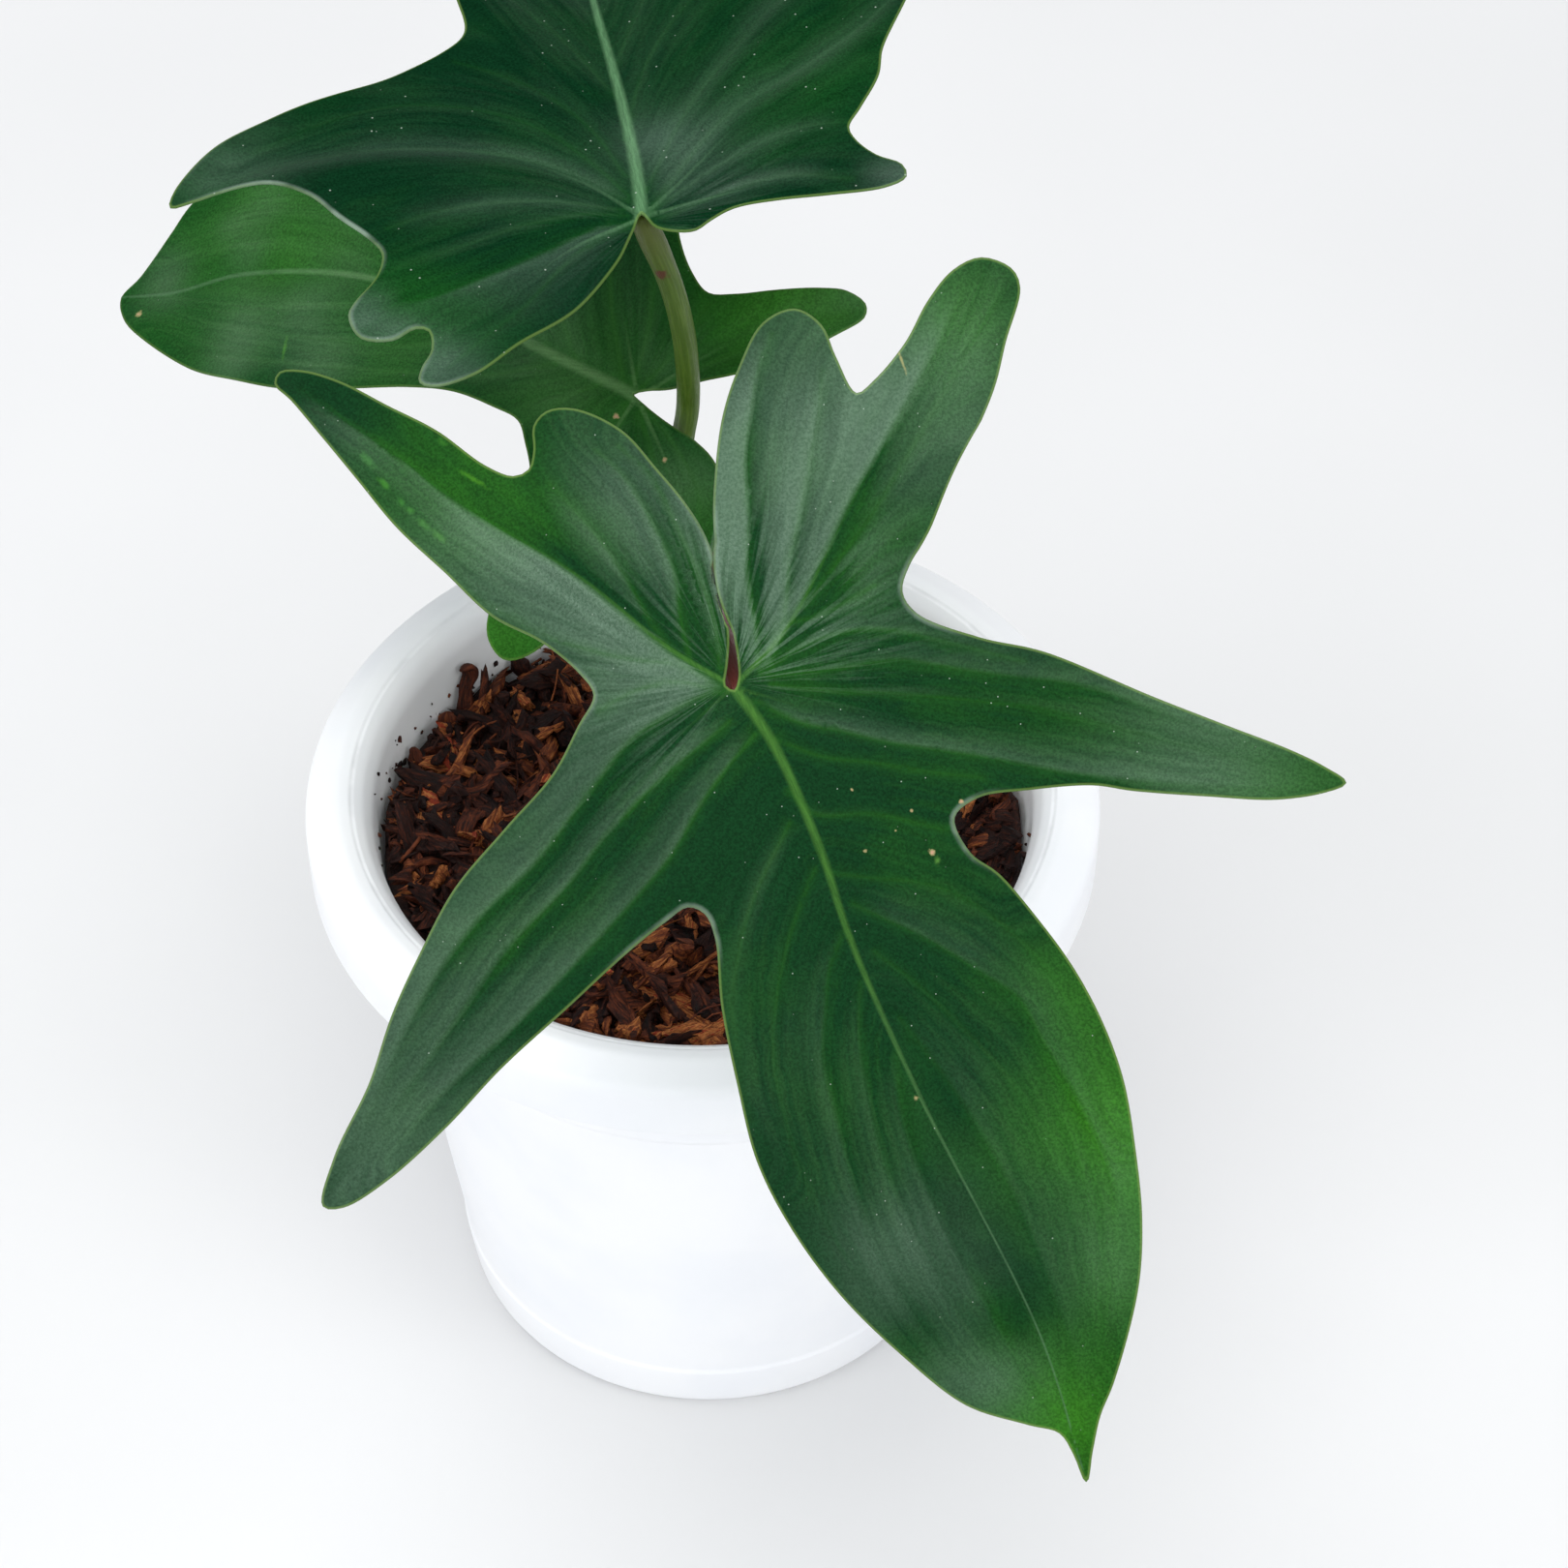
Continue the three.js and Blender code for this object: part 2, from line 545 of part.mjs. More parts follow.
function bladeGeometry(blade) {
  const veins = blade.veins.map((vein) => vein.map(([u, v]) => new THREE.Vector2(u, v)));
  const edge = edgePoints(blade.outline);
  const { points, faces } = bladeTriangles(edge, innerPoints(edge, veins));
  const positions = [];
  const place = (p, isUnder) => {
    const veinDistance = distanceToVeins(p, veins);
    const keel = VEIN_KEEL * Math.exp(-((veinDistance / VEIN_KEEL_WIDTH) ** 2));
    const offset = isUnder ? -BLADE_THICKNESS - keel : 0;
    positions.push(...bladePoint(blade, p.x, p.y, veinDistance, offset).toArray());
  };
  points.forEach((p) => place(p, false));
  points.forEach((p) => place(p, true));
  const under = points.length;
  const index = [];
  for (const [a, b, c] of faces) {
    index.push(a, b, c, under + a, under + c, under + b);
  }
  const turn = Math.sign(THREE.ShapeUtils.area(edge));
  for (let i = 0; i < edge.length; i += 1) {
    const a = turn > 0 ? i : (i + 1) % edge.length;
    const b = turn > 0 ? (i + 1) % edge.length : i;
    index.push(a, under + a, under + b, a, under + b, b);
  }
  const geometry = new THREE.BufferGeometry();
  geometry.setAttribute('position', new THREE.Float32BufferAttribute(positions, 3));
  geometry.setIndex(index);
  geometry.computeVertexNormals();
  return geometry;
}

function addPiece(group, name, geometry, look) {
  const mesh = new THREE.Mesh(geometry, new THREE.MeshStandardMaterial(look));
  mesh.name = name;
  group.add(mesh);
}

const plant = new THREE.Group();
addPiece(plant, 'pot', potGeometry(), PLASTIC);
addPiece(plant, 'substrate', substrateGeometry(), BARK);
addPiece(plant, 'stem', stemGeometry(), STEM_GREEN);
for (const blade of [FRONT_BLADE, TOP_BLADE, BACK_BLADE]) {
  addPiece(plant, `petiole_${blade.name}`, petioleGeometry(blade), PETIOLE_GREEN);
  addPiece(plant, `blade_${blade.name}`, bladeGeometry(blade), LEAF_GREEN);
}

export default plant;
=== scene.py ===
"""Potted oakleaf philodendron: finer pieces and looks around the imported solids.

Lengths are in millimetres and become metres where a mesh, a look or a light is made.
"""

import math
import random

import bpy
import numpy as np
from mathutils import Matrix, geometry, kdtree


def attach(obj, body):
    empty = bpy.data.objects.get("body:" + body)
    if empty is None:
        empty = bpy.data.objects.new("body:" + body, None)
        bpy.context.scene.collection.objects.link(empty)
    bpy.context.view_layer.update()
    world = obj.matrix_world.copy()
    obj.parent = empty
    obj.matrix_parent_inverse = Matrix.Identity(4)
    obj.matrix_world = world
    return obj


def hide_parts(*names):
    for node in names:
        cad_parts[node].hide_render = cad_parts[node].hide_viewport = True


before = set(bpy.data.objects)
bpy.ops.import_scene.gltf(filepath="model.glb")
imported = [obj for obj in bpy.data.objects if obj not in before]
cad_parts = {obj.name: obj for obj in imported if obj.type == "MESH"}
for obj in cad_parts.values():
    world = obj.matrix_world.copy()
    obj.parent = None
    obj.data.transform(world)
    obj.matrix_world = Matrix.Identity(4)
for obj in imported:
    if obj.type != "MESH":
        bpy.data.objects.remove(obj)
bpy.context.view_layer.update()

MM = 0.001

# Camera: its place and pitch, and a lens for its sensor
CAMERA_PLACE = (11, -413, 527)
CAMERA_PITCH = 46.4
CAMERA_LENS = 101.33
SENSOR_WIDTH = 36

# Pot, as in the solids
POT_SEGMENTS = 144
BASE_RADIUS = 36
WALL_TOP_RADIUS = 45
WALL_THICKNESS = 1.6
FLOOR_THICKNESS = 2.2
BASE_INNER_RADIUS = BASE_RADIUS - WALL_THICKNESS
CREST_RADIUS = 48.6
CREST_Z = 94.4
GROOVE_RADIUS = 47.6
RIM_RADIUS = 54
RIM_EDGE_Z = 92
WALL_SLOPE = (WALL_TOP_RADIUS - BASE_INNER_RADIUS) / (RIM_EDGE_Z - FLOOR_THICKNESS)
SKIRT_DEPTH = 8
SKIRT_THICKNESS = 1.6
DRAIN_HOLE_COUNT = 6
DRAIN_HOLE_RADIUS = 3.5
DRAIN_HOLE_SEGMENTS = 24
DRAIN_RING_RADIUS = 22

# Bark mix, as in the solids, and the loose pieces on it
FIT_GAP = 0.35
SUBSTRATE_Z = 84.6
SUBSTRATE_SLOPE = -0.085
BED_SINK = 1.3
BED_SEGMENTS = 96
BED_STEP = 1.2
CHIP_COUNT = 1150
FIBRE_COUNT = 260
CRUMB_COUNT = 900
WALL_CRUMB_COUNT = 90
WALL_CRUMB_REACH = 5.5
WALL_CRUMB_RING = 44

# Chips that lean on the wall: degrees round, height and inset of each point, then half sizes and tone
LEANING_CHIPS = [
    ([(145, 80.8, 2.4), (143.5, 83.2, 1.6), (142, 85.4, 1.3), (140.6, 87, 1.3), (140.8, 88.3, 1.2),
      (142.4, 88.6, 1.3)], 1.15, 0.6, 0.42),
    ([(150, 80.6, 2.6), (148.6, 82.4, 1.6), (148, 84.2, 1.2)], 1.5, 0.7, 0.62),
    ([(127, 80, 2.8), (128.5, 82.4, 1.6), (129.2, 84.8, 1.2)], 1.3, 0.8, 0.3),
    ([(163, 82, 2.4), (161, 84.4, 1.4), (160.4, 85.6, 1.2)], 1.0, 0.6, 0.5),
    ([(30, 81, 2.4), (31, 83.6, 1.4), (30, 85, 1.2)], 1.2, 0.7, 0.4),
]

# Stem and its nodes, as in the solids, and its centre where it leaves the bark
STEM_ROUTE = [
    (1, 2, 54), (1, 3, 72), (0, 3, 90), (1.2, 5, 101), (-0.6, 7, 111), (-0.8, 8.5, 121), (1.2, 10, 130),
]
STEM_CENTRE = (1, 2.6)
STEM_RADIUS = 3.6
STEM_NODES = (91, 101, 111, 121)
NODE_SWELL = 0.9
NODE_SWELL_HEIGHT = 1.7
SCAR_LIFT = 0.9
SCAR_SWELL = 0.28
SCAR_HEIGHT = 0.4
BUD_START = 0.86

# Petioles, each with its foot on the stem and its seat under a blade
PETIOLE_BASE_RADIUS = 2.3
PETIOLE_TOP_RADIUS = 1.45
PETIOLE_SEAT = 2.5
PETIOLE_SINK = 0.55
FOOT_SWELL = 0.8
KNEE_SWELL = 0.16

# Blades: each is drawn flat, u across and v from the petiole to the tip, then bent by its heights
BLADE_THICKNESS = 0.8
MARGIN_THICKNESS = 0.34
MARGIN_ROUND = 0.12
EDGE_THINNING = 1.2
VEIN_KEEL = 0.9
VEIN_KEEL_WIDTH = 1.68
VEIN_CHANNEL = 0.7
VEIN_CHANNEL_WIDTH = 2.6
RIB_HEIGHT = 0.26
RIB_SOFT_EDGE = 0.13
CREASE_KEEL = 0.2
CREASE_WIDTH = 0.7
PLEAT_SLOPE = 0.17
PLEAT_CAP = 2.6
PLEAT_MARGIN = 2.5
FLATTER_FROM = 30
FLATTER_OVER = 30
WAVE_HEIGHT = 0.3
WAVE_REACH = 5

# Rows of mesh points inside the margin and beside ribs and creases, and how close points may be
MESH_STEP = 0.8
OUTLINE_GAP = 0.2
RIM_ROWS = (0.35, 0.95)
RIM_GAPS = (0.3, 0.4)
RIM_CLEARANCE = 0.3
RIB_ROWS = (0, 0.42, -0.42, 0.85, -0.85)
CREASE_ROWS = (0, 0.42, -0.42)
ROW_GAP = 0.34
GRID_GAP = 0.496

# Floor
FLOOR_HALF = 4000

# The line between the basal lobes, as v and u; and how far right the lap lies at its two ends, and its reach
NOTCH_LINE = [(-60, -5.5), (-20, -4.6), (-11, -3.2), (-5.5, -1.6)]
LAP_SPLIT = (-4.1, -2.1)
LAP_REACH = 3

# For the leaf's look: the number of the first crease on the left side, how far the fan of painted sheen
# streaks at the petiole reaches, and the turn off the midrib from which it shows
LEFT_FLOW = 40
FAN_REACH = 16
FAN_TURN = 0.85

# The painted sheen of a crease with none of its own: on both sides, how much, and how wide the sheen and the
# painted shade are
SOFT_CREASE = (0, 0.15, 2, 1)

FRONT_BLADE = {
    # where it sits on its petiole, which way its tip and its face point, and its length
    "attach": (5, -55, 168),
    "towards_tip": (0.404, -0.695, -0.595),
    "faces": (-0.03, -0.66, 0.75),
    "length": 100,
    # deep green, fresh green (also a painted glow of light through the blade), the ribs, and the painted
    # sheen's grey-green
    "colours": [(14, 52, 25), (44, 102, 22), (66, 112, 46), (68, 106, 76)],
    # the petiole: its name, its colour low and high, its streaks and blush, then scars with x, y, z and size
    "petiole_look": ("petiole_reddish", [(96, 62, 34), (112, 44, 34), (86, 34, 28), (92, 36, 30)], []),
    "notch_lean": 1,
    # strength of the pleats, of the pale margin, and of the fan of painted sheen streaks at the petiole,
    # right and left
    "pleats": 1.0,
    "margin": 0.5,
    "fan": (0.9, 1.7),
    # dust: strength and size; gloss: the least, and how much the painted sheen map adds
    "dust": (0.6, 0.065),
    "gloss": (0.03, 0.88),
    # where the margin rolls over and a grey highlight is painted on it, as soft patches: u, v, radius,
    # strength
    "rolled_highlight": [
        (-3.5, -15, 6, 0.35), (13.5, 23, 5, 0.38), (21, 23.5, 6, 0.2), (-17, 26, 5.5, 0.36),
        (-23, 0, 6, 0.3), (15.5, -6, 4.5, 0.2),
    ],
    # how far the blade droops to each side, and how deep and wide it is folded at the midrib
    "bend": {"tip": 10, "base": 14, "left": 9, "right": 9},
    "fold": 0.9,
    "fold_width": 8,
    # its petiole, from the foot
    "petiole": [(1.2, 5, 103), (1, -2, 112), (0.5, -14, 134), (1, -29, 155), (3.2, -42, 164)],
    "outline": [
        # notch at the petiole, then the forked basal lobe on the left of the blade
        (0.1, 1), (-0.9, 0), (-1.7, -2), (-2.3, -4.2), (-2.9, -6.8), (-3.6, -10.5), (-4.4, -14),
        (-5.6, -17.7), (-7.5, -21.8), (-11.5, -28.5), (-15.5, -33), (-20, -36.5), (-24, -36.5),
        (-26, -33.5), (-26, -29.5), (-26.5, -24.5), (-29, -25), (-34, -27.5), (-38.5, -31), (-42.5, -33),
        (-46, -33), (-48.5, -30.5), (-48.5, -28), (-44.5, -23), (-41, -18.5), (-34, -12), (-28.5, -7),
        (-24, -4), (-22, -1.5), (-22.5, 1.5),
        # side lobe on the left
        (-28, 7), (-34, 11.5), (-44, 22), (-50, 28), (-55, 33), (-58, 36.5), (-59.5, 39), (-57, 39),
        (-51.5, 37.5), (-44.5, 34), (-37, 30), (-33, 27.5), (-26, 25), (-20.5, 23.5), (-17, 24.5),
        (-17, 29),
        # terminal lobe
        (-19, 32.5), (-21, 39), (-22.5, 46), (-23, 53), (-22.5, 60), (-20.5, 68), (-18, 75.5),
        (-14.5, 82.5), (-7.5, 91.5), (-4.5, 94.5), (-2, 98), (0, 101), (0, 97.5), (0.5, 94.5), (3.5, 92),
        (9, 87), (13.5, 78.5), (17, 69.5), (19, 60.5), (19.5, 51.5), (18, 42.5), (16, 33.5), (13.5, 26),
        (13.5, 23), (15, 21.5),
        # side lobe on the right
        (18, 22), (23.5, 23.5), (32, 26.4), (42, 29.8), (50.5, 33.4), (59, 36.2), (65, 37), (67, 36),
        (63.5, 31.5), (56.5, 25.5), (51, 19.5), (45.5, 14.5), (38.5, 9), (30.5, 5), (23, 1.5), (18, -2.5),
        (15, -5),
        # forked basal lobe on the right
        (15.5, -8), (18, -13), (22, -18), (25, -25), (28, -32), (30, -39), (32, -46), (33.5, -51),
        (34.5, -53.5), (33.5, -54.5), (31, -53.5), (27.5, -50.5), (23.5, -45.5), (19.5, -40.5),
        (16, -34.5), (13.5, -32), (11.5, -32), (10, -34), (9, -36.5), (7, -37.5), (4, -36.5), (0, -32),
        (-2, -26), (-3.3, -21.4), (-3.9, -17.5), (-3.8, -14), (-3.1, -10.5), (-2.4, -6.8), (-1.4, -4.2),
        (-0.2, -2), (0.9, 0),
    ],
    "veins": [
        [(0, 0.5), (-1.5, 8.5), (-1.5, 22), (-0.5, 32.5), (-0.5, 52), (-2, 83), (0, 101)],
        [(0, 0.5), (10, 4), (23.5, 11), (42.5, 23), (56.5, 30.5), (66.5, 36)],
        [(0, 0.5), (-9, 8), (-22.5, 16), (-35, 23.5), (-47, 31.5), (-59, 39)],
        [(0, 0.5), (5, -6.5), (11, -18), (20, -31.5), (26.5, -44.5), (34, -54)],
        [(0, 0.5), (-8, -3), (-17, -10), (-29, -20.5), (-37.5, -26.5), (-47, -31.5)],
    ],
    # ribs: half width at the petiole, how far they taper, and how strong their colour is near and far
    "ribs": [
        (0.5, 66, 1.0, 0.45), (0.1, 10, 0.25, 0), (0.1, 10, 0.25, 0), (0.2, 34, 0.85, 0), (0.22, 24, 0.8, 0),
    ],
    # where the edge of the left basal lobe laps over that of the right one: v from and to, shift, lift
    "lap": (-15.5, -5.5, 0.75, 0.5),
    # side veins on each side, in order round the petiole from the notch to the tip: the side of the line that
    # gets painted sheen (1 left of it, -1 right, 0 both), how much, how wide the sheen is and how wide the
    # painted shade beyond it is
    "left_creases": [
        (1, 0.9, 5, 2.2, [
            (-3.5, -0.5), (-5, -4.5), (-7, -11), (-9.5, -17), (-12, -23.5), (-14.5, -27.5), (-17.5, -32),
            (-20.5, -35)]),
        (1, 0.6, 2.5, 2, [
            (-4.5, 0.5), (-7, -2.5), (-9.5, -6), (-12, -10.5), (-15, -14.5), (-18, -19), (-21.5, -24),
            (-24, -28.5)]),
        (1, 0.8, 5, 3, [
            (-3.5, 0.5), (-8, -3), (-12, -6), (-15.5, -9), (-22, -14.5), (-29.5, -20), (-36, -25),
            (-42.5, -30.5)]),
        (1, 0, 1, 1, [(-11, -4.5), (-15.5, -7), (-22.5, -11), (-31, -17), (-38.5, -22.5), (-45.5, -27.5)]),
        (-1, 0.5, 2, 2, [(-3.5, 0), (-8, -3.5), (-11.5, -3), (-14.5, -3), (-19.5, -3.5)]),
        (1, 0.2, 1.5, 1.5, [(-4, 0.5), (-9, -0.5), (-14, 0), (-19, 2), (-24.5, 6), (-31.5, 11.5)]),
        (1, 0.22, 3, 2.5, [
            (-4, 1), (-10, 3), (-18.5, 5.5), (-24, 9), (-29.5, 12.5), (-35.5, 16), (-40, 19.5),
            (-44, 23.5), (-52, 31), (-57, 36.5)]),
        (1, 0.1, 1.5, 1.5, [
            (-4, 2), (-9, 5), (-16, 8.5), (-24, 13), (-31.5, 17.5), (-38.5, 23), (-46, 29), (-53, 34.5),
            (-58.5, 38.5)]),
        (1, 0.45, 1.5, 3, [
            (-1.5, 3), (-5.5, 7.5), (-9, 10), (-13.5, 13.5), (-20.5, 18), (-25, 21), (-30, 24.5),
            (-38.5, 29.5), (-48, 34.5), (-55, 38)]),
        (1, 0.1, 1, 1, [(-2, 8), (-6, 12), (-11, 15), (-15.5, 18), (-21.5, 21.5)]),
        (1, 0.1, 1, 1, [(-1, 14), (-2.5, 17.5), (-9, 20.5), (-13, 23.5), (-15.5, 25.5)]),
        (1, 0, 1, 1, [
            (-1.5, 24.5), (-5.5, 27), (-11.5, 30.5), (-16, 36), (-19.5, 44), (-20.5, 51.5),
            (-20.5, 60.5)]),
        (1, 0.2, 3, 0.8, [
            (-2.5, 29), (-6, 33), (-10, 38), (-13, 42.5), (-15.5, 46.5), (-16, 51.5), (-17, 60.5),
            (-17, 69.5), (-15.5, 74.5), (-13.5, 79), (-8, 87)]),
        (1, 0, 1, 1, [
            (-2.5, 35), (-5.5, 40.5), (-8.5, 48), (-11, 56.5), (-11, 65), (-10, 73), (-8, 81),
            (-3.5, 92.5)]),
        (1, 0.1, 2, 2, [(-2, 43), (-4, 51), (-5.5, 60), (-6, 70), (-5.5, 79.5), (-4.5, 88), (-2.5, 94.5)]),
    ],
    "right_creases": [
        (1, 0, 1, 1, [(0.5, -2), (-1, -7.5), (-1.5, -13.5), (-1.5, -19.5), (-1, -25.5), (1, -30.5)]),
        (1, 0.4, 4, 3, [
            (1.5, -0.5), (3.5, -3.5), (3, -6), (2.5, -9), (1, -14), (1, -21), (2, -27.5), (3.5, -31)]),
        (1, 0.3, 2, 2.5, [(1.5, -0.5), (4.5, -5.5), (5.5, -9), (6.5, -17.5), (8, -24), (10, -29.5)]),
        (1, 0.85, 8, 4, [
            (1, 0), (5, -5.5), (8, -11.5), (12.5, -20), (20, -31), (24, -38.5), (29, -46.5), (32, -51.5)]),
        (-1, 0.1, 2, 1, [
            (1.5, 0), (5, -4.5), (8.5, -6.5), (13.5, -10), (20, -16.5), (26.5, -27.5), (29.5, -37),
            (32, -45.5)]),
        (-1, 0.15, 2, 2, [(1.5, 0.5), (5.5, -2.5), (9.5, -3.5), (12.5, -3.5), (15.5, -3)]),
        (-1, 0.42, 5, 2.5, [
            (1, 0.5), (4.5, 0), (9, 0.5), (13.5, 1.5), (20, 5), (29, 10), (37, 13), (43.5, 16.5),
            (49, 20.5), (55, 26), (62, 32.5)]),
        (-1, 0.45, 2.2, 2, [
            (2, 4), (5.5, 5), (9, 6), (13.5, 7.5), (20.5, 10.5), (27, 14), (34.5, 17), (41, 20.5),
            (47.5, 24.5), (56, 29.5), (64.5, 34.5)]),
        (-1, 0.45, 2.5, 1.5, [
            (0, 6.5), (3, 8), (7.5, 10.5), (11, 13), (14.5, 15.5), (19.5, 18), (28.5, 22), (38.5, 26),
            (50, 30), (59, 34)]),
        (0, 0.12, 1, 1, [(0.5, 17.5), (6.5, 22.5), (9, 25), (12, 29), (15, 34), (17, 40.5), (18.5, 47)]),
        (0, 0, 1, 1, [
            (0, 23.5), (4.5, 28), (8.5, 33), (12.5, 40), (14.5, 47.5), (15.5, 55.5), (15, 64.5),
            (13.5, 74), (10, 83), (5.5, 90)]),
        (-1, 0.15, 1.5, 1.5, [
            (0, 31.5), (3, 34.5), (5.5, 39), (8, 44), (9, 49), (10, 54.5), (11, 62.5), (11, 72.5),
            (8.5, 82), (4.5, 89.5)]),
        (-1, 0.1, 2, 2, [
            (0.5, 37.5), (3, 43), (5, 50.5), (6.5, 58.5), (6.5, 67.5), (6, 76), (4.5, 84), (2, 91)]),
        (-1, 0.12, 3, 1.5, [
            (0, 46.5), (2, 52), (3, 59), (3, 66.5), (3, 71.5), (2.5, 76.5), (2, 82.5), (2, 88), (0, 94)]),
    ],
    # where a grey-green sheen is painted into the skin and its gloss is raised, as soft patches: u, v,
    # radius, strength
    "gloss_and_painted_sheen": [
        (10, 70, 10, 0.3), (9, 66, 4.5, 0.2), (11, 77.5, 4, -0.3), (7, 84, 9, 0.34), (5, 86, 3.5, 0.25),
        (2, 80, 4, -0.25), (-13, 79, 5, 0.2), (-16, 74, 9, 0.2), (-9, 58, 12, 0.06), (14, 44, 10, 0.06),
        (39, 19, 12, 0.16), (59, 31, 14, 0.5), (-47, 29, 12, 0.5), (24, -35, 9, -0.3), (6, -23, 10, 0.3),
        (-18, -23, 14, 0.5), (-36, -21, 12, 0.42), (8, -2, 7, 0.1), (-19, -6, 5, 0.22),
    ],
    # paler, fresher green as soft patches: u, v, radius, strength; in part the leaf's own tone, in part a
    # painted glow of light shining through the blade
    "fresh_and_glow": [
        (-21, 64, 10, 1.0), (-17, 80, 9, 0.7), (-1, 94, 9, 0.9), (-23, 48, 7, 0.5), (-52, 34, 16, 0.35),
        (20, -34, 13, 0.4), (-40, -26, 9, 0.5), (-19, -6, 7, 0.2),
    ],
    # small tan marks: u, v, radius
    "marks": [
        (-6.2, 23.9, 0.3), (-13.1, 27.1, 0.46), (0, 52.2, 0.4), (-18.5, 23.2, 0.32), (-12.9, 21.9, 0.24),
        (-10.3, 23.2, 0.24), (-7.6, 16.9, 0.22),
    ],
    # flecks: u, v, half length, half width, heading in degrees, colour
    "flecks": [
        (28.1, -40.6, 1.3, 0.5, 110, (58, 116, 52)), (27.4, -37.3, 1.0, 0.4, 115, (62, 128, 40)),
        (26.4, -34.5, 0.6, 0.4, 110, (52, 116, 40)), (25.9, -33.3, 0.6, 0.4, 120, (58, 120, 44)),
        (25.1, -31.1, 0.9, 0.45, 115, (58, 116, 44)), (24, -29, 1.0, 0.5, 110, (64, 122, 46)),
        (17.8, -33.6, 1.9, 0.32, 124, (72, 134, 36)), (19.4, -39.1, 0.7, 0.4, 120, (56, 116, 40)),
        (-13.3, 28.3, 0.5, 0.35, 60, (88, 140, 60)), (-32.8, -25.8, 1.5, 0.16, 86, (176, 166, 104)),
    ],
}

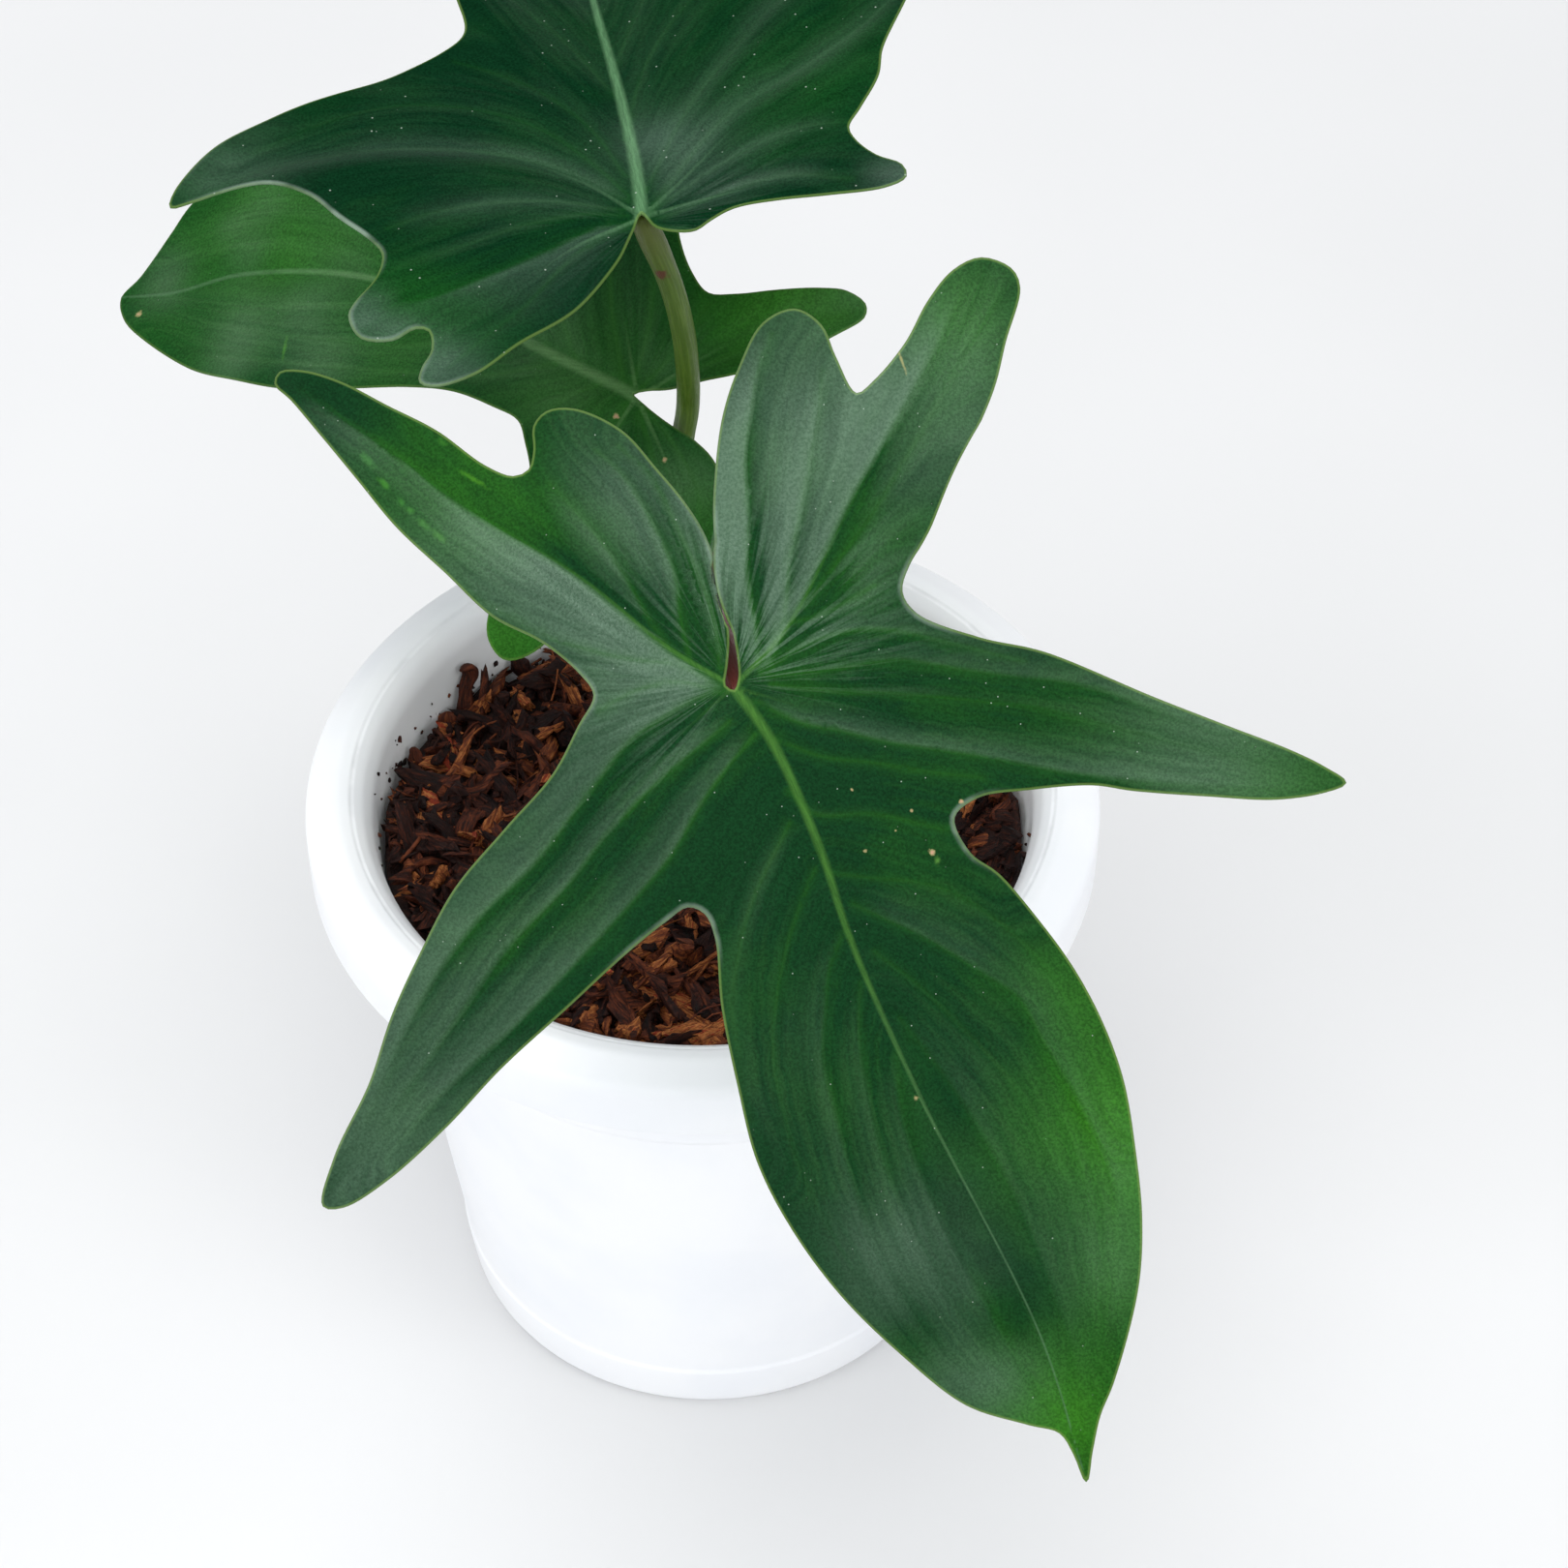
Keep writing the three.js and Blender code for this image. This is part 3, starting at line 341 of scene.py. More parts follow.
TOP_BLADE = {
    "attach": (-6, 2, 190),
    "towards_tip": (-0.169, 0.976, 0.135),
    "faces": (-0.02, -0.14, 0.99),
    "length": 90,
    "colours": [(10, 44, 24), (26, 80, 26), (88, 130, 90), (70, 98, 84)],
    "petiole_look": (
        "petiole_olive", [(62, 92, 24), (66, 92, 20), (92, 118, 44), (84, 86, 34)],
        [(-4.0, 4.6, 178.8, 1.0), (-2.6, 6.0, 173.5, 0.55)],
    ),
    "notch_lean": 0.2,
    "pleats": 0.7,
    "margin": 0.45,
    "fan": (0.4, 0.25),
    "gloss": (0.0, 0.55),
    "dust": (0.55, 0.1),
    "rolled_highlight": [
        (-35, 2, 4.5, 0.6), (-41, 9, 5, 0.4), (-48, 11, 5, 0.3), (-31.5, -3, 3, 0.15),
        (-35, -13, 3.5, 0.3), (-31, -15.5, 3, 0.25), (-27, -21.5, 4, 0.25),
    ],
    "bend": {"tip": 22, "base": 16, "left": 14, "right": 12},
    "fold": 1.6,
    "fold_width": 8,
    "petiole": [
        (-0.8, 8.5, 120), (-2.6, 9.6, 131), (-2.4, 11.4, 143), (-1.3, 11, 151.5), (-1.2, 9, 160),
        (-1.7, 7.5, 168), (-3.1, 6.3, 176.5),
    ],
    "outline": [
        # notch at the petiole, then the forked basal lobe on the left of the blade
        (0, 1.2), (-1.5, -1.5), (-4, -6.5), (-9.5, -13), (-17, -18), (-23, -22), (-27.5, -23),
        (-29.5, -22), (-29, -20), (-27.5, -17.5), (-27.5, -15), (-29, -14.5), (-32, -16), (-35.5, -15.5),
        (-36.5, -12), (-35.5, -10), (-32.5, -6.5), (-31.5, -3), (-33, 0),
        # side lobe on the left
        (-36, 3.5), (-39, 7.5), (-43.5, 10.5), (-49, 10.5), (-53, 9.6), (-55.6, 9), (-54.8, 11.5),
        (-49.5, 17.6), (-42, 22.4), (-33.5, 26), (-26, 29), (-20.5, 32.4), (-17, 37),
        # terminal lobe
        (-17, 44.5), (-18.5, 54), (-19, 62.5), (-17, 71), (-12.5, 79), (-6.5, 86), (-1.5, 92), (0.5, 97),
        (2, 92), (6, 87), (12, 80.5), (17, 73), (19.5, 65), (19.5, 57), (18, 49), (18.5, 43),
        # side lobe on the right
        (22, 41), (29, 43), (37, 47.5), (44, 53), (50, 58), (53.5, 59.5), (52, 55), (48, 47), (43, 38),
        (37.5, 28.5), (33, 20), (31.5, 15), (28.5, 10.5), (26.5, 7.5),
        # short basal lobe on the right
        (27, 5), (29, 2), (31.6, -0.2), (31.8, -2), (29, -3), (22.5, -2.2), (16, -1.4), (11, -1.2),
        (8, -2.4), (6, -3.4), (4, -3), (1.5, -1.5),
    ],
    "veins": [
        [(0, 0.5), (0.5, 9), (0.5, 21.5), (0, 42.5), (0, 70), (0.5, 97)],
        [(0, 0.5), (-6.5, 7.5), (-19.5, 14.5), (-34.5, 16), (-46.5, 14), (-55, 8.5)],
        [(0, 0.5), (8, 7.5), (18.5, 18), (30, 33), (42, 47), (53, 59)],
        [(0, 0.5), (-8, -3), (-17, -10), (-24.5, -17), (-29, -22)],
        [(0, 0.5), (7, 1.5), (16.5, 1.5), (31, -2.5)],
    ],
    "ribs": [
        (0.7, 80, 1.0, 0.7), (0.2, 18, 0.4, 0), (0.2, 18, 0.4, 0), (0.22, 16, 0.6, 0), (0.2, 14, 0.5, 0),
    ],
    "lap": None,
    "left_creases": [
        (0, 0.1, 1.5, 1, [(-1, -0.5), (-6, -2.5), (-11.5, -7.5), (-16, -12.5), (-21.5, -17), (-26, -20.5)]),
        (1, 0.5, 3, 2, [(-1, 0), (-5.5, -0.5), (-12.5, -4), (-18.5, -7), (-25.5, -10), (-32, -11.5)]),
        (0, 0.2, 0.9, 1, [(-1.5, 1), (-7, 1.5), (-14.5, 0), (-21.5, -2.5), (-27.5, -4.5), (-32, -6.5)]),
        (0, 0.42, 1.2, 1, [(-2, 2), (-11.5, 4), (-18, 4), (-25, 3), (-30.5, 1)]),
        (0, 0.42, 1.2, 1, [
            (-1, 3), (-5.5, 7.5), (-10.5, 11), (-17, 13.5), (-27, 15), (-37, 14.5), (-46.5, 12.5),
            (-53.5, 9)]),
        (0, 0.05, 2, 1, [
            (-1, 4), (-5, 10.5), (-10, 16.5), (-16.5, 20.5), (-26, 22.5), (-35.5, 20.5), (-45, 16.5)]),
        (0, 0.05, 2, 1, [(-1, 7.5), (-4, 16), (-9, 23.5), (-14.5, 28), (-19, 30.5)]),
        (0, 0.1, 2, 1, [(0, 22), (-4, 32), (-10, 44), (-14, 58), (-13, 72), (-2, 90)]),
        (0, 0.1, 2, 1, [(0, 36), (-3, 46), (-7, 58), (-8, 72), (-4, 84), (0, 94)]),
        (0, 0.1, 2, 1, [(0, 50), (-2, 60), (-3, 72), (-2, 84), (0, 94)]),
    ],
    "right_creases": [
        (0, 0.1, 1, 1, [(0.5, -0.5), (2.5, -2), (5, -3)]),
        (0, 0.45, 1, 1, [(1, 0), (4.5, 0.5), (8, 1.5), (15, 2.5), (19, 2), (25.5, -0.5)]),
        (0, 0.5, 0.8, 1, [(1, 1), (5, 3.5), (12.5, 7), (21.5, 9), (27, 8)]),
        (0, 0.4, 1.5, 1, [(1.5, 2), (10, 12), (16, 17), (25.5, 21), (33, 26.5), (42, 36)]),
        (0, 0.25, 1.2, 1, [(1, 4.5), (9, 18), (15.5, 26), (21.5, 33), (32, 41), (45, 51)]),
        (0, 0.1, 2, 1, [(0, 14), (4, 26), (11, 37), (17, 42)]),
        (0, 0.1, 2, 1, [(0, 26), (4, 36), (9, 47), (14, 59), (13, 72), (3, 90)]),
        (0, 0.1, 2, 1, [(0, 38), (3, 48), (7, 60), (7, 74), (3, 86), (1, 94)]),
        (0, 0.1, 2, 1, [(0, 52), (2, 62), (3, 74), (2, 85), (1, 94)]),
    ],
    "gloss_and_painted_sheen": [
        (5, 11, 7, 0.3), (3, 13, 3.5, 0.4), (-49, 14, 7, 0.35), (-27, -20.5, 4.5, 0.7),
        (-35, -12.5, 3.5, 0.7), (-31, -15.5, 2.5, 0.5), (31, -2.5, 4, 0.6),
    ],
    "flecks": [],
    "fresh_and_glow": [(-30, -14, 10, 0.5), (24, 20, 14, 0.3), (-50, 12, 8, 0.3)],
    "marks": [],
}

BACK_BLADE = {
    "attach": (-8, 13, 152),
    "towards_tip": (-0.942, 0.325, -0.083),
    "faces": (-0.2, -0.35, 0.9),
    "length": 70,
    "colours": [(20, 64, 27), (50, 108, 34), (100, 140, 88), (80, 114, 78)],
    "petiole_look": ("petiole_green", [(70, 92, 40), (92, 84, 48), (100, 112, 60), (96, 62, 42)], []),
    "notch_lean": 0.2,
    "pleats": 0.6,
    "margin": 0.25,
    "fan": (0.25, 0.25),
    "gloss": (0.01, 0.6),
    "dust": (0.3, 0.06),
    "rolled_highlight": [(-20, -15, 8, 0.25)],
    "flecks": [(1.2, 52, 1.6, 0.3, 10, (70, 128, 44))],
    "bend": {"tip": 12, "base": 10, "left": 12, "right": 12},
    "fold": 0.8,
    "fold_width": 7,
    "petiole": [(-0.6, 7, 110), (-4, 13, 116), (-9, 20, 127), (-11.5, 21, 139)],
    "outline": [
        # notch at the petiole, then the basal lobe on the near side
        (0.3, 0.6), (-0.9, -1.2), (-3.2, -5.5), (-5, -9.5), (-7.4, -12.8), (-11.5, -15), (-17, -16),
        (-22.5, -16), (-27, -14.5), (-28, -11.5), (-25.5, -7.5), (-21.5, -4), (-19.5, -0.5),
        # side lobe on the near side
        (-22.5, 0.5), (-27, 0.5), (-31.5, 0.5), (-35.5, 1.5), (-38, 4), (-38.5, 6.5), (-36.5, 9),
        (-33.5, 10), (-28.5, 9.5), (-23, 9), (-17.5, 9.5), (-13, 10.5), (-9, 12.5),
        # terminal lobe
        (-6, 14.5), (-4.5, 18.5), (-3, 24.5), (-3, 31.5), (-4, 41.5), (-4.5, 50.5), (-3.5, 58.5), (-2, 66),
        (2.5, 76), (6, 81), (9.5, 83), (12.5, 80.5), (18.5, 77.5), (24, 75), (28, 69.5), (31, 61.5),
        (32, 51), (31.5, 40.5), (29.5, 30.5), (25.5, 23), (24.5, 19.5),
        # side lobe on the far side
        (28.5, 18.5), (34.5, 18.5), (41.5, 18.5), (46, 16.5), (47.5, 13.5), (43, 9), (36, 5.5), (29, 3),
        (22.5, 0.5), (18, -2.5), (15.5, -5.5),
        # basal lobe on the far side
        (16, -9), (17.5, -14), (19, -20), (19.4, -23), (18.4, -25.6), (16.4, -26), (13, -23), (9, -18),
        (5.5, -12.5), (3.5, -7.5), (2, -4), (1.2, -1),
    ],
    "veins": [
        [(0, 0), (4.5, 14.5), (7.5, 23.5), (12.5, 43), (12.5, 63), (10, 73.5), (9.5, 83)],
        [(0, 0), (-13, 3.5), (-26.5, 4.5), (-37.5, 6.5)],
        [(0, 0), (17.5, 7.5), (31, 10.5), (46.5, 14)],
        [(0, 0), (-9, -7), (-17.5, -12.5), (-26.5, -14)],
        [(0, 0), (10, -11), (17.5, -25)],
    ],
    "ribs": [
        (0.7, 95, 0.7, 0.3), (0.2, 12, 0.5, 0), (0.2, 12, 0.5, 0), (0.24, 14, 0.6, 0), (0.22, 14, 0.6, 0),
    ],
    "lap": None,
    "left_creases": [(*SOFT_CREASE, line) for line in [
        [(-1, -1), (-6, -7), (-12, -12), (-20, -14)],
        [(-2, -1), (-9, -5), (-17, -8), (-26, -11)],
        [(-1, 1), (-8, 1), (-15, 0), (-20, 0)],
        [(-1, 1), (-12, 4), (-25, 5), (-37, 6)],
        [(1, 5), (-2, 9), (-6, 11), (-10, 12)],
        [(3, 12), (0, 20), (-1, 32), (-1, 46), (0, 60), (5, 76)],
        [(6, 21), (3, 32), (3, 48), (4, 62), (8, 78)],
        [(10, 36), (8, 48), (8, 62), (9, 76)],
    ]],
    "right_creases": [(*SOFT_CREASE, line) for line in [
        [(1, -1), (6, -8), (11, -15), (16, -23)],
        [(1, 0), (8, -4), (14, -6)],
        [(1, 1), (10, 1), (20, 3), (31, 7)],
        [(1, 2), (12, 7), (24, 11), (36, 14), (45, 14)],
        [(3, 9), (11, 14), (19, 17), (24, 19)],
        [(5, 14), (14, 24), (22, 36), (27, 50), (27, 64), (20, 75)],
        [(8, 24), (14, 34), (20, 48), (22, 62), (17, 76)],
        [(12, 40), (16, 50), (17, 62), (14, 76)],
    ]],
    "gloss_and_painted_sheen": [
        (7, 51, 4.5, 0.45), (4, 60, 4.5, 0.5), (-1.5, 60, 4, 0.4), (-0.5, 46, 5, 0.45),
        (15.4, 63, 3, 0.35), (23, 63, 3.5, 0.3), (19.5, 67, 2.5, 0.3), (12, 76, 4, 0.55), (13, 46, 4, 0.2),
        (18, -23, 8, 0.35), (10, 16, 10, 0.3), (4, -3, 5, 0.2), (-11, -9, 5, 0.55), (-2, 8, 6, 0.3),
    ],
    "fresh_and_glow": [
        (20, 60, 16, 0.5), (-20, -8, 12, 0.6), (10, 30, 16, 0.3), (-36, 8, 9, 1.0), (16, -18, 12, 1.0),
        (-2, 8, 8, 0.5),
    ],
    "marks": [(-3.2, 1.8, 0.5), (-8.2, -6.3, 0.4), (6.6, 78.6, 0.6)],
}

BLADES = {"front": FRONT_BLADE, "top": TOP_BLADE, "back": BACK_BLADE}


# Lines and fields in the plane of a blade


def smooth_line(points, step, closed=False):
    """Points about every step on a centripetal Catmull-Rom line through the given points."""
    points = np.asarray(points, float)
    if closed:
        padded = np.vstack([points[-1:], points, points[:2]])
    else:
        padded = np.vstack([2 * points[0] - points[1], points, 2 * points[-1] - points[-2]])
    pieces = []
    for knots in zip(padded, padded[1:], padded[2:], padded[3:]):
        gaps = [np.linalg.norm(q - p) for p, q in zip(knots, knots[1:])]
        times = np.concatenate([[0], np.cumsum(np.sqrt(gaps))])
        count = max(1, round(gaps[1] / step))
        t = np.linspace(times[1], times[2], count, endpoint=False)[:, None]

        def blend(start, end, at_start, at_end):
            return (end - t) / (end - start) * at_start + (t - start) / (end - start) * at_end

        lines = [blend(*pair) for pair in zip(times, times[1:], knots, knots[1:])]
        curves = [blend(*pair) for pair in zip(times, times[2:], lines, lines[1:])]
        pieces.append(blend(times[1], times[2], *curves))
    if not closed:
        pieces.append(points[-1:])
    return np.vstack(pieces)


def distances_along(line):
    """How far along a line each of its points is."""
    return np.concatenate([[0], np.cumsum(np.linalg.norm(np.diff(line, axis=0), axis=1))])


def tangents_of(line):
    """The unit direction of a line at each of its points."""
    tangents = np.gradient(line, axis=0)
    return tangents / np.linalg.norm(tangents, axis=1)[:, None]


def line_distance(points, line, closed=False):
    """Distance of each point to a line, how far along the line that is, and 1 left of it or -1 right."""
    starts = line if closed else line[:-1]
    ends = np.roll(line, -1, axis=0) if closed else line[1:]
    spans = ends - starts
    lengths = np.linalg.norm(spans, axis=1)
    before = np.concatenate([[0], np.cumsum(lengths)[:-1]])
    results = []
    for part in np.array_split(points, len(points) // 2000 + 1):
        offsets = part[:, None, :] - starts[None]
        t = np.clip((offsets * spans).sum(2) / lengths**2, 0, 1)
        gaps = np.linalg.norm(offsets - t[..., None] * spans, axis=2)
        turn = spans[:, 0] * offsets[..., 1] - spans[:, 1] * offsets[..., 0]
        nearest = gaps.argmin(1)
        at = np.arange(len(nearest)), nearest
        results.append((gaps[at], before[nearest] + t[at] * lengths[nearest], np.where(turn[at] > 0, 1, -1)))
    return [np.concatenate(values) for values in zip(*results)]


def is_inside(points, outline):
    """Which points lie inside a closed outline."""
    inside = np.zeros(len(points), bool)
    for (ax, ay), (bx, by) in zip(outline, np.roll(outline, -1, axis=0)):
        crosses = (ay > points[:, 1]) != (by > points[:, 1])
        if crosses.any():
            at = ax + (points[:, 1] - ay) * (bx - ax) / (by - ay if by != ay else 1)
            inside ^= crosses & (points[:, 0] < at)
    return inside


def side_rows(line, offsets):
    """Copies of a line moved sideways."""
    tangents = tangents_of(line)
    sideways = np.column_stack([-tangents[:, 1], tangents[:, 0]])
    return [line + offset * sideways for offset in offsets]


class Thinner:
    """Keeps points that are far enough from those kept before; no gap may be over the cell size."""

    def __init__(self, cell):
        self.cell = cell
        self.cells = {}
        self.points = []

    def add(self, points, gap):
        for x, y in points:
            i, j = int(x // self.cell), int(y // self.cell)
            near = (q for a in (-1, 0, 1) for b in (-1, 0, 1) for q in self.cells.get((i + a, j + b), ()))
            if all((x - qx) ** 2 + (y - qy) ** 2 >= gap * gap for qx, qy in near):
                self.cells.setdefault((i, j), []).append((x, y))
                self.points.append((x, y))


def hex_grid(low, high, step):
    """A triangular grid of points over a box."""
    rows = np.arange(low[1], high[1], step * math.sqrt(0.75))
    columns = np.arange(low[0], high[0], step)
    return np.array([(x + (k % 2) * step / 2, y) for k, y in enumerate(rows) for x in columns])


def triangulated(points, edges, rim, tolerance):
    """Flat points and triangles inside a rim, which is the first so many of the points."""
    found = geometry.delaunay_2d_cdt(points, edges, [list(range(rim))], 1, tolerance)
    return np.array([(p.x, p.y) for p in found[0]]), np.array([tuple(face) for face in found[2]])


def evenly(line, count):
    """So many points, evenly spaced along a line."""
    along = distances_along(line)
    places = np.linspace(0, along[-1], count)
    return np.column_stack([np.interp(places, along, line[:, k]) for k in (0, 1)])


def hump(distance, width):
    """1 on a line or at a place, and low beyond a width."""
    return np.exp(-((distance / width) ** 2))


def patches(flat, spots, power=2):
    """The sum of soft round patches, each with its place u and v, its radius and its strength."""
    return sum(
        strength * np.exp(-((np.hypot(flat[:, 0] - u, flat[:, 1] - v) / radius) ** power))
        for u, v, radius, strength in spots
    )


def flow_field(points, faces, spine_side, sides):
    """A number over the blade: k on the k-th crease of each side, going evenly from one to the next."""
    value = np.zeros(len(points))
    count, steps = 160, 20
    neighbours, rounds = 6, 10
    for side, creases in sides:
        lines = [evenly(crease, count) for crease in creases]
        tree = kdtree.KDTree(count * steps * (len(lines) - 1))
        for k, (near, far) in enumerate(zip(lines, lines[1:])):
            for i in range(steps):
                for j, (x, y) in enumerate(near + (far - near) * i / (steps - 1)):
                    tree.insert((x, y, 0), (k * steps + i) * count + j)
        tree.balance()
        for i in np.flatnonzero(spine_side == side):
            found = tree.find_n((*points[i], 0), neighbours)
            numbers = np.array([number // count for _, number, _ in found])
            weights = np.array([1 / (gap + 0.05) ** 2 for _, _, gap in found])
            value[i] = weights.dot(numbers // steps + (numbers % steps) / (steps - 1)) / weights.sum()

    # even it out over each side's triangles
    edges = np.sort(np.vstack([faces[:, [0, 1]], faces[:, [1, 2]], faces[:, [2, 0]]]), axis=1)
    edges = np.unique(edges, axis=0)
    a, b = edges[spine_side[edges[:, 0]] == spine_side[edges[:, 1]]].T
    links = np.maximum(np.bincount(a, minlength=len(points)) + np.bincount(b, minlength=len(points)), 1)
    for _ in range(rounds):
        value = (np.bincount(a, value[b], len(points)) + np.bincount(b, value[a], len(points))) / links
    return value


# Meshes


def in_scene(name, data):
    """An object of the scene that holds a mesh, a light or a camera."""
    made = bpy.data.objects.new(name, data)
    bpy.context.scene.collection.objects.link(made)
    return made


def make_piece(name, points, faces, node, slot, material, sharp_degrees=None, **attributes):
    """A mesh piece in metres that rides on the root, with its point attributes."""
    mesh = bpy.data.meshes.new(name)
    mesh.from_pydata((np.asarray(points, float) * MM).tolist(), [], [tuple(map(int, f)) for f in faces])
    for key, values in attributes.items():
        values = np.asarray(values, np.float32)
        is_vector = values.ndim == 2
        layer = mesh.attributes.new(key, "FLOAT_VECTOR" if is_vector else "FLOAT", "POINT")
        layer.data.foreach_set("vector" if is_vector else "value", values.ravel())
    mesh.polygons.foreach_set("use_smooth", [True] * len(mesh.polygons))
    if sharp_degrees is not None:
        mesh.set_sharp_from_angle(angle=math.radians(sharp_degrees))
    mesh.materials.append(material)
    piece = in_scene(name, mesh)
    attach(piece, "root")
    if node:
        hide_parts(node)
    return piece


def circle(sides):
    """So many points on the unit circle."""
    angles = np.linspace(0, 2 * math.pi, sides, endpoint=False)
    return np.column_stack([np.cos(angles), np.sin(angles)])


def ring_faces(first_ring, second_ring):
    """Quads between two closed rings of point numbers."""
    after = zip(first_ring[1:] + first_ring[:1], second_ring[1:] + second_ring[:1])
    return [(a, b, c, d) for a, d, (b, c) in zip(first_ring, second_ring, after)]


def stack_faces(count, sides, capped=True):
    """Quads between so many rings, one after the other in a list of points, and a face on each end."""
    rings = [list(range(k * sides, (k + 1) * sides)) for k in range(count)]
    faces = [face for lower, upper in zip(rings, rings[1:]) for face in ring_faces(lower, upper)]
    if capped:
        faces += [tuple(reversed(rings[0])), tuple(rings[-1])]
    return faces


def tube(route, radius_at, step, sides):
    """A round bar along a route: its points, faces, distance along and angle round at each point."""
    line = smooth_line(route, step)
    along = distances_along(line)
    tangents = tangents_of(line)
    normal = np.cross(tangents[0], (0, 1, 0))
    angles = np.linspace(0, 2 * math.pi, sides, endpoint=False)
    points = []
    for centre, tangent, length in zip(line, tangents, along):
        normal = normal - normal.dot(tangent) * tangent
        normal /= np.linalg.norm(normal)
        ring = circle(sides) @ [normal, np.cross(tangent, normal)]
        points.append(centre + ring * np.reshape(radius_at(length, along[-1], angles, centre), (-1, 1)))
    faces = stack_faces(len(line), sides)
    return np.vstack(points), faces, np.repeat(along, sides), np.tile(angles, len(line))


class Bundle:
    """Bars of bark that together make one piece."""

    def __init__(self):
        self.points, self.faces, self.tones, self.grains = [], [], [], []
        self.count = 0

    def add(self, bar, tone, half_width, depth):
        """Adds a tube with its tone; half_width and depth place it in the grain of the bark."""
        points, faces, along, angles = bar
        self.points.append(points)
        self.faces += [tuple(self.count + i for i in face) for face in faces]
        self.tones.append(np.full(len(points), tone))
        self.grains.append(np.column_stack([along, half_width * np.cos(angles), np.full(len(points), depth)]))
        self.count += len(points)

    def make(self, name, spread):
        return make_piece(
            name, np.vstack(self.points), self.faces, None, "bark", bark_look(name, spread),
            tone=np.concatenate(self.tones), grain=np.vstack(self.grains),
        )


# Materials


class Value:
    """A number or colour in a material; arithmetic on it adds Math nodes."""

    def __init__(self, look, socket):
        self.look = look
        self.socket = socket

    def __add__(self, other):
        return self.look.math("ADD", self, other)

    def __sub__(self, other):
        return self.look.math("SUBTRACT", self, other)

    def __rsub__(self, other):
        return self.look.math("SUBTRACT", other, self)

    def __mul__(self, other):
        return self.look.math("MULTIPLY", self, other)


class Look:
    """Builds one material; each method adds a node and gives its output."""

    def __init__(self, name, roughness, specular=0.5):
        self.material = bpy.data.materials.new(name)
        self.material.use_nodes = True
        self.tree = self.material.node_tree
        self.shader = self.tree.nodes["Principled BSDF"]
        self.shader.inputs["Roughness"].default_value = roughness
        self.shader.inputs["Specular IOR Level"].default_value = specular

    def node(self, kind, inputs, output=0, **settings):
        made = self.tree.nodes.new("ShaderNode" + kind)
        for key, value in settings.items():
            setattr(made, key, value)
        for key, value in inputs.items():
            if isinstance(value, Value):
                self.tree.links.new(value.socket, made.inputs[key])
            else:
                made.inputs[key].default_value = value
        return Value(self, made.outputs[output])

    def set(self, **sockets):
        """Links values to the shader's sockets, named with _ for each space."""
        for name, value in sockets.items():
            self.tree.links.new(value.socket, self.shader.inputs[name.replace("_", " ")])

    def place(self):
        """The point on the piece, in metres."""
        return self.node("TexCoord", {}, "Object")

    def split(self, vector):
        return [self.node("SeparateXYZ", {0: vector}, k) for k in range(3)]

    def attribute(self, name, output="Fac"):
        return self.node("Attribute", {}, output, attribute_name=name)

    def math(self, operation, a, b=0.0):
        return self.node("Math", {0: a, 1: b}, operation=operation)

    def clamped(self, value):
        """The result of some arithmetic, kept between 0 and 1."""
        value.socket.node.use_clamp = True
        return value

    def vector(self, x=0.0, y=0.0, z=0.0):
        return self.node("CombineXYZ", {0: x, 1: y, 2: z})

    def scaled(self, vector, factors):
        return self.node("VectorMath", {0: vector, 1: factors}, operation="MULTIPLY")

    def noise(self, vector, scale, detail=2.0, roughness=0.5):
        inputs = {"Vector": vector, "Scale": scale, "Detail": detail, "Roughness": roughness}
        return self.node("TexNoise", inputs)

    def dots(self, vector, scale, low, high, strength=1.0):
        """Round dots, one to a cell, that end between the sizes low and high."""
        gap = self.node("TexVoronoi", {"Vector": vector, "Scale": scale, "Randomness": 1.0}, "Distance")
        return self.ease(gap, low, high, strength, 0.0)

    def spot(self, u, v, half_length, half_width, degrees):
        """How far a point of a blade is from an oval at u, v on its drawing: 1 on the oval."""
        inputs = {
            "Vector": self.attribute("flat", "Vector"), "Location": (u, v, 0),
            "Rotation": (0, 0, math.radians(degrees)), "Scale": (half_length, half_width, 1),
        }
        inside = self.node("Mapping", inputs, vector_type="TEXTURE")
        return self.node("VectorMath", {0: inside}, "Value", operation="LENGTH")

    def faded(self, value, share):
        """The value where share is 1, and its middle, one half, where share is 0."""
        return (value - 0.5) * share + 0.5

    def ease(self, value, low, high, start=0.0, end=1.0):
        """Goes smoothly from start to end as value goes from low to high."""
        inputs = {0: value, 1: low, 2: high, 3: start, 4: end}
        return self.node("MapRange", inputs, interpolation_type="SMOOTHSTEP")

    def mix(self, factor, a, b, blend="MIX"):
        return self.node("Mix", {0: factor, 6: a, 7: b}, 2, data_type="RGBA", blend_type=blend)

    def ramp(self, factor, stops):
        made = self.tree.nodes.new("ShaderNodeValToRGB")
        self.tree.links.new(factor.socket, made.inputs[0])
        elements = made.color_ramp.elements
        while len(elements) < len(stops):
            elements.new(0.5)
        for element, (position, colour) in zip(elements, stops):
            element.position = position
            element.color = colour
        return Value(self, made.outputs[0])

    def relief(self, *layers):
        """Sets the shader's normal from layers of relief: each a height and its depth in millimetres."""
        normal = {}
        for height, depth in layers:
            inputs = {"Height": height, "Distance": depth * MM, "Strength": 1.0, **normal}
            normal = {"Normal": self.node("Bump", inputs)}
        self.set(**normal)


def shade(red, green, blue):
    """A colour from its sRGB values, 0 to 255."""
    def linear(value):
        value /= 255
        return value / 12.92 if value <= 0.04045 else ((value + 0.055) / 1.055) ** 2.4
    return (linear(red), linear(green), linear(blue), 1.0)


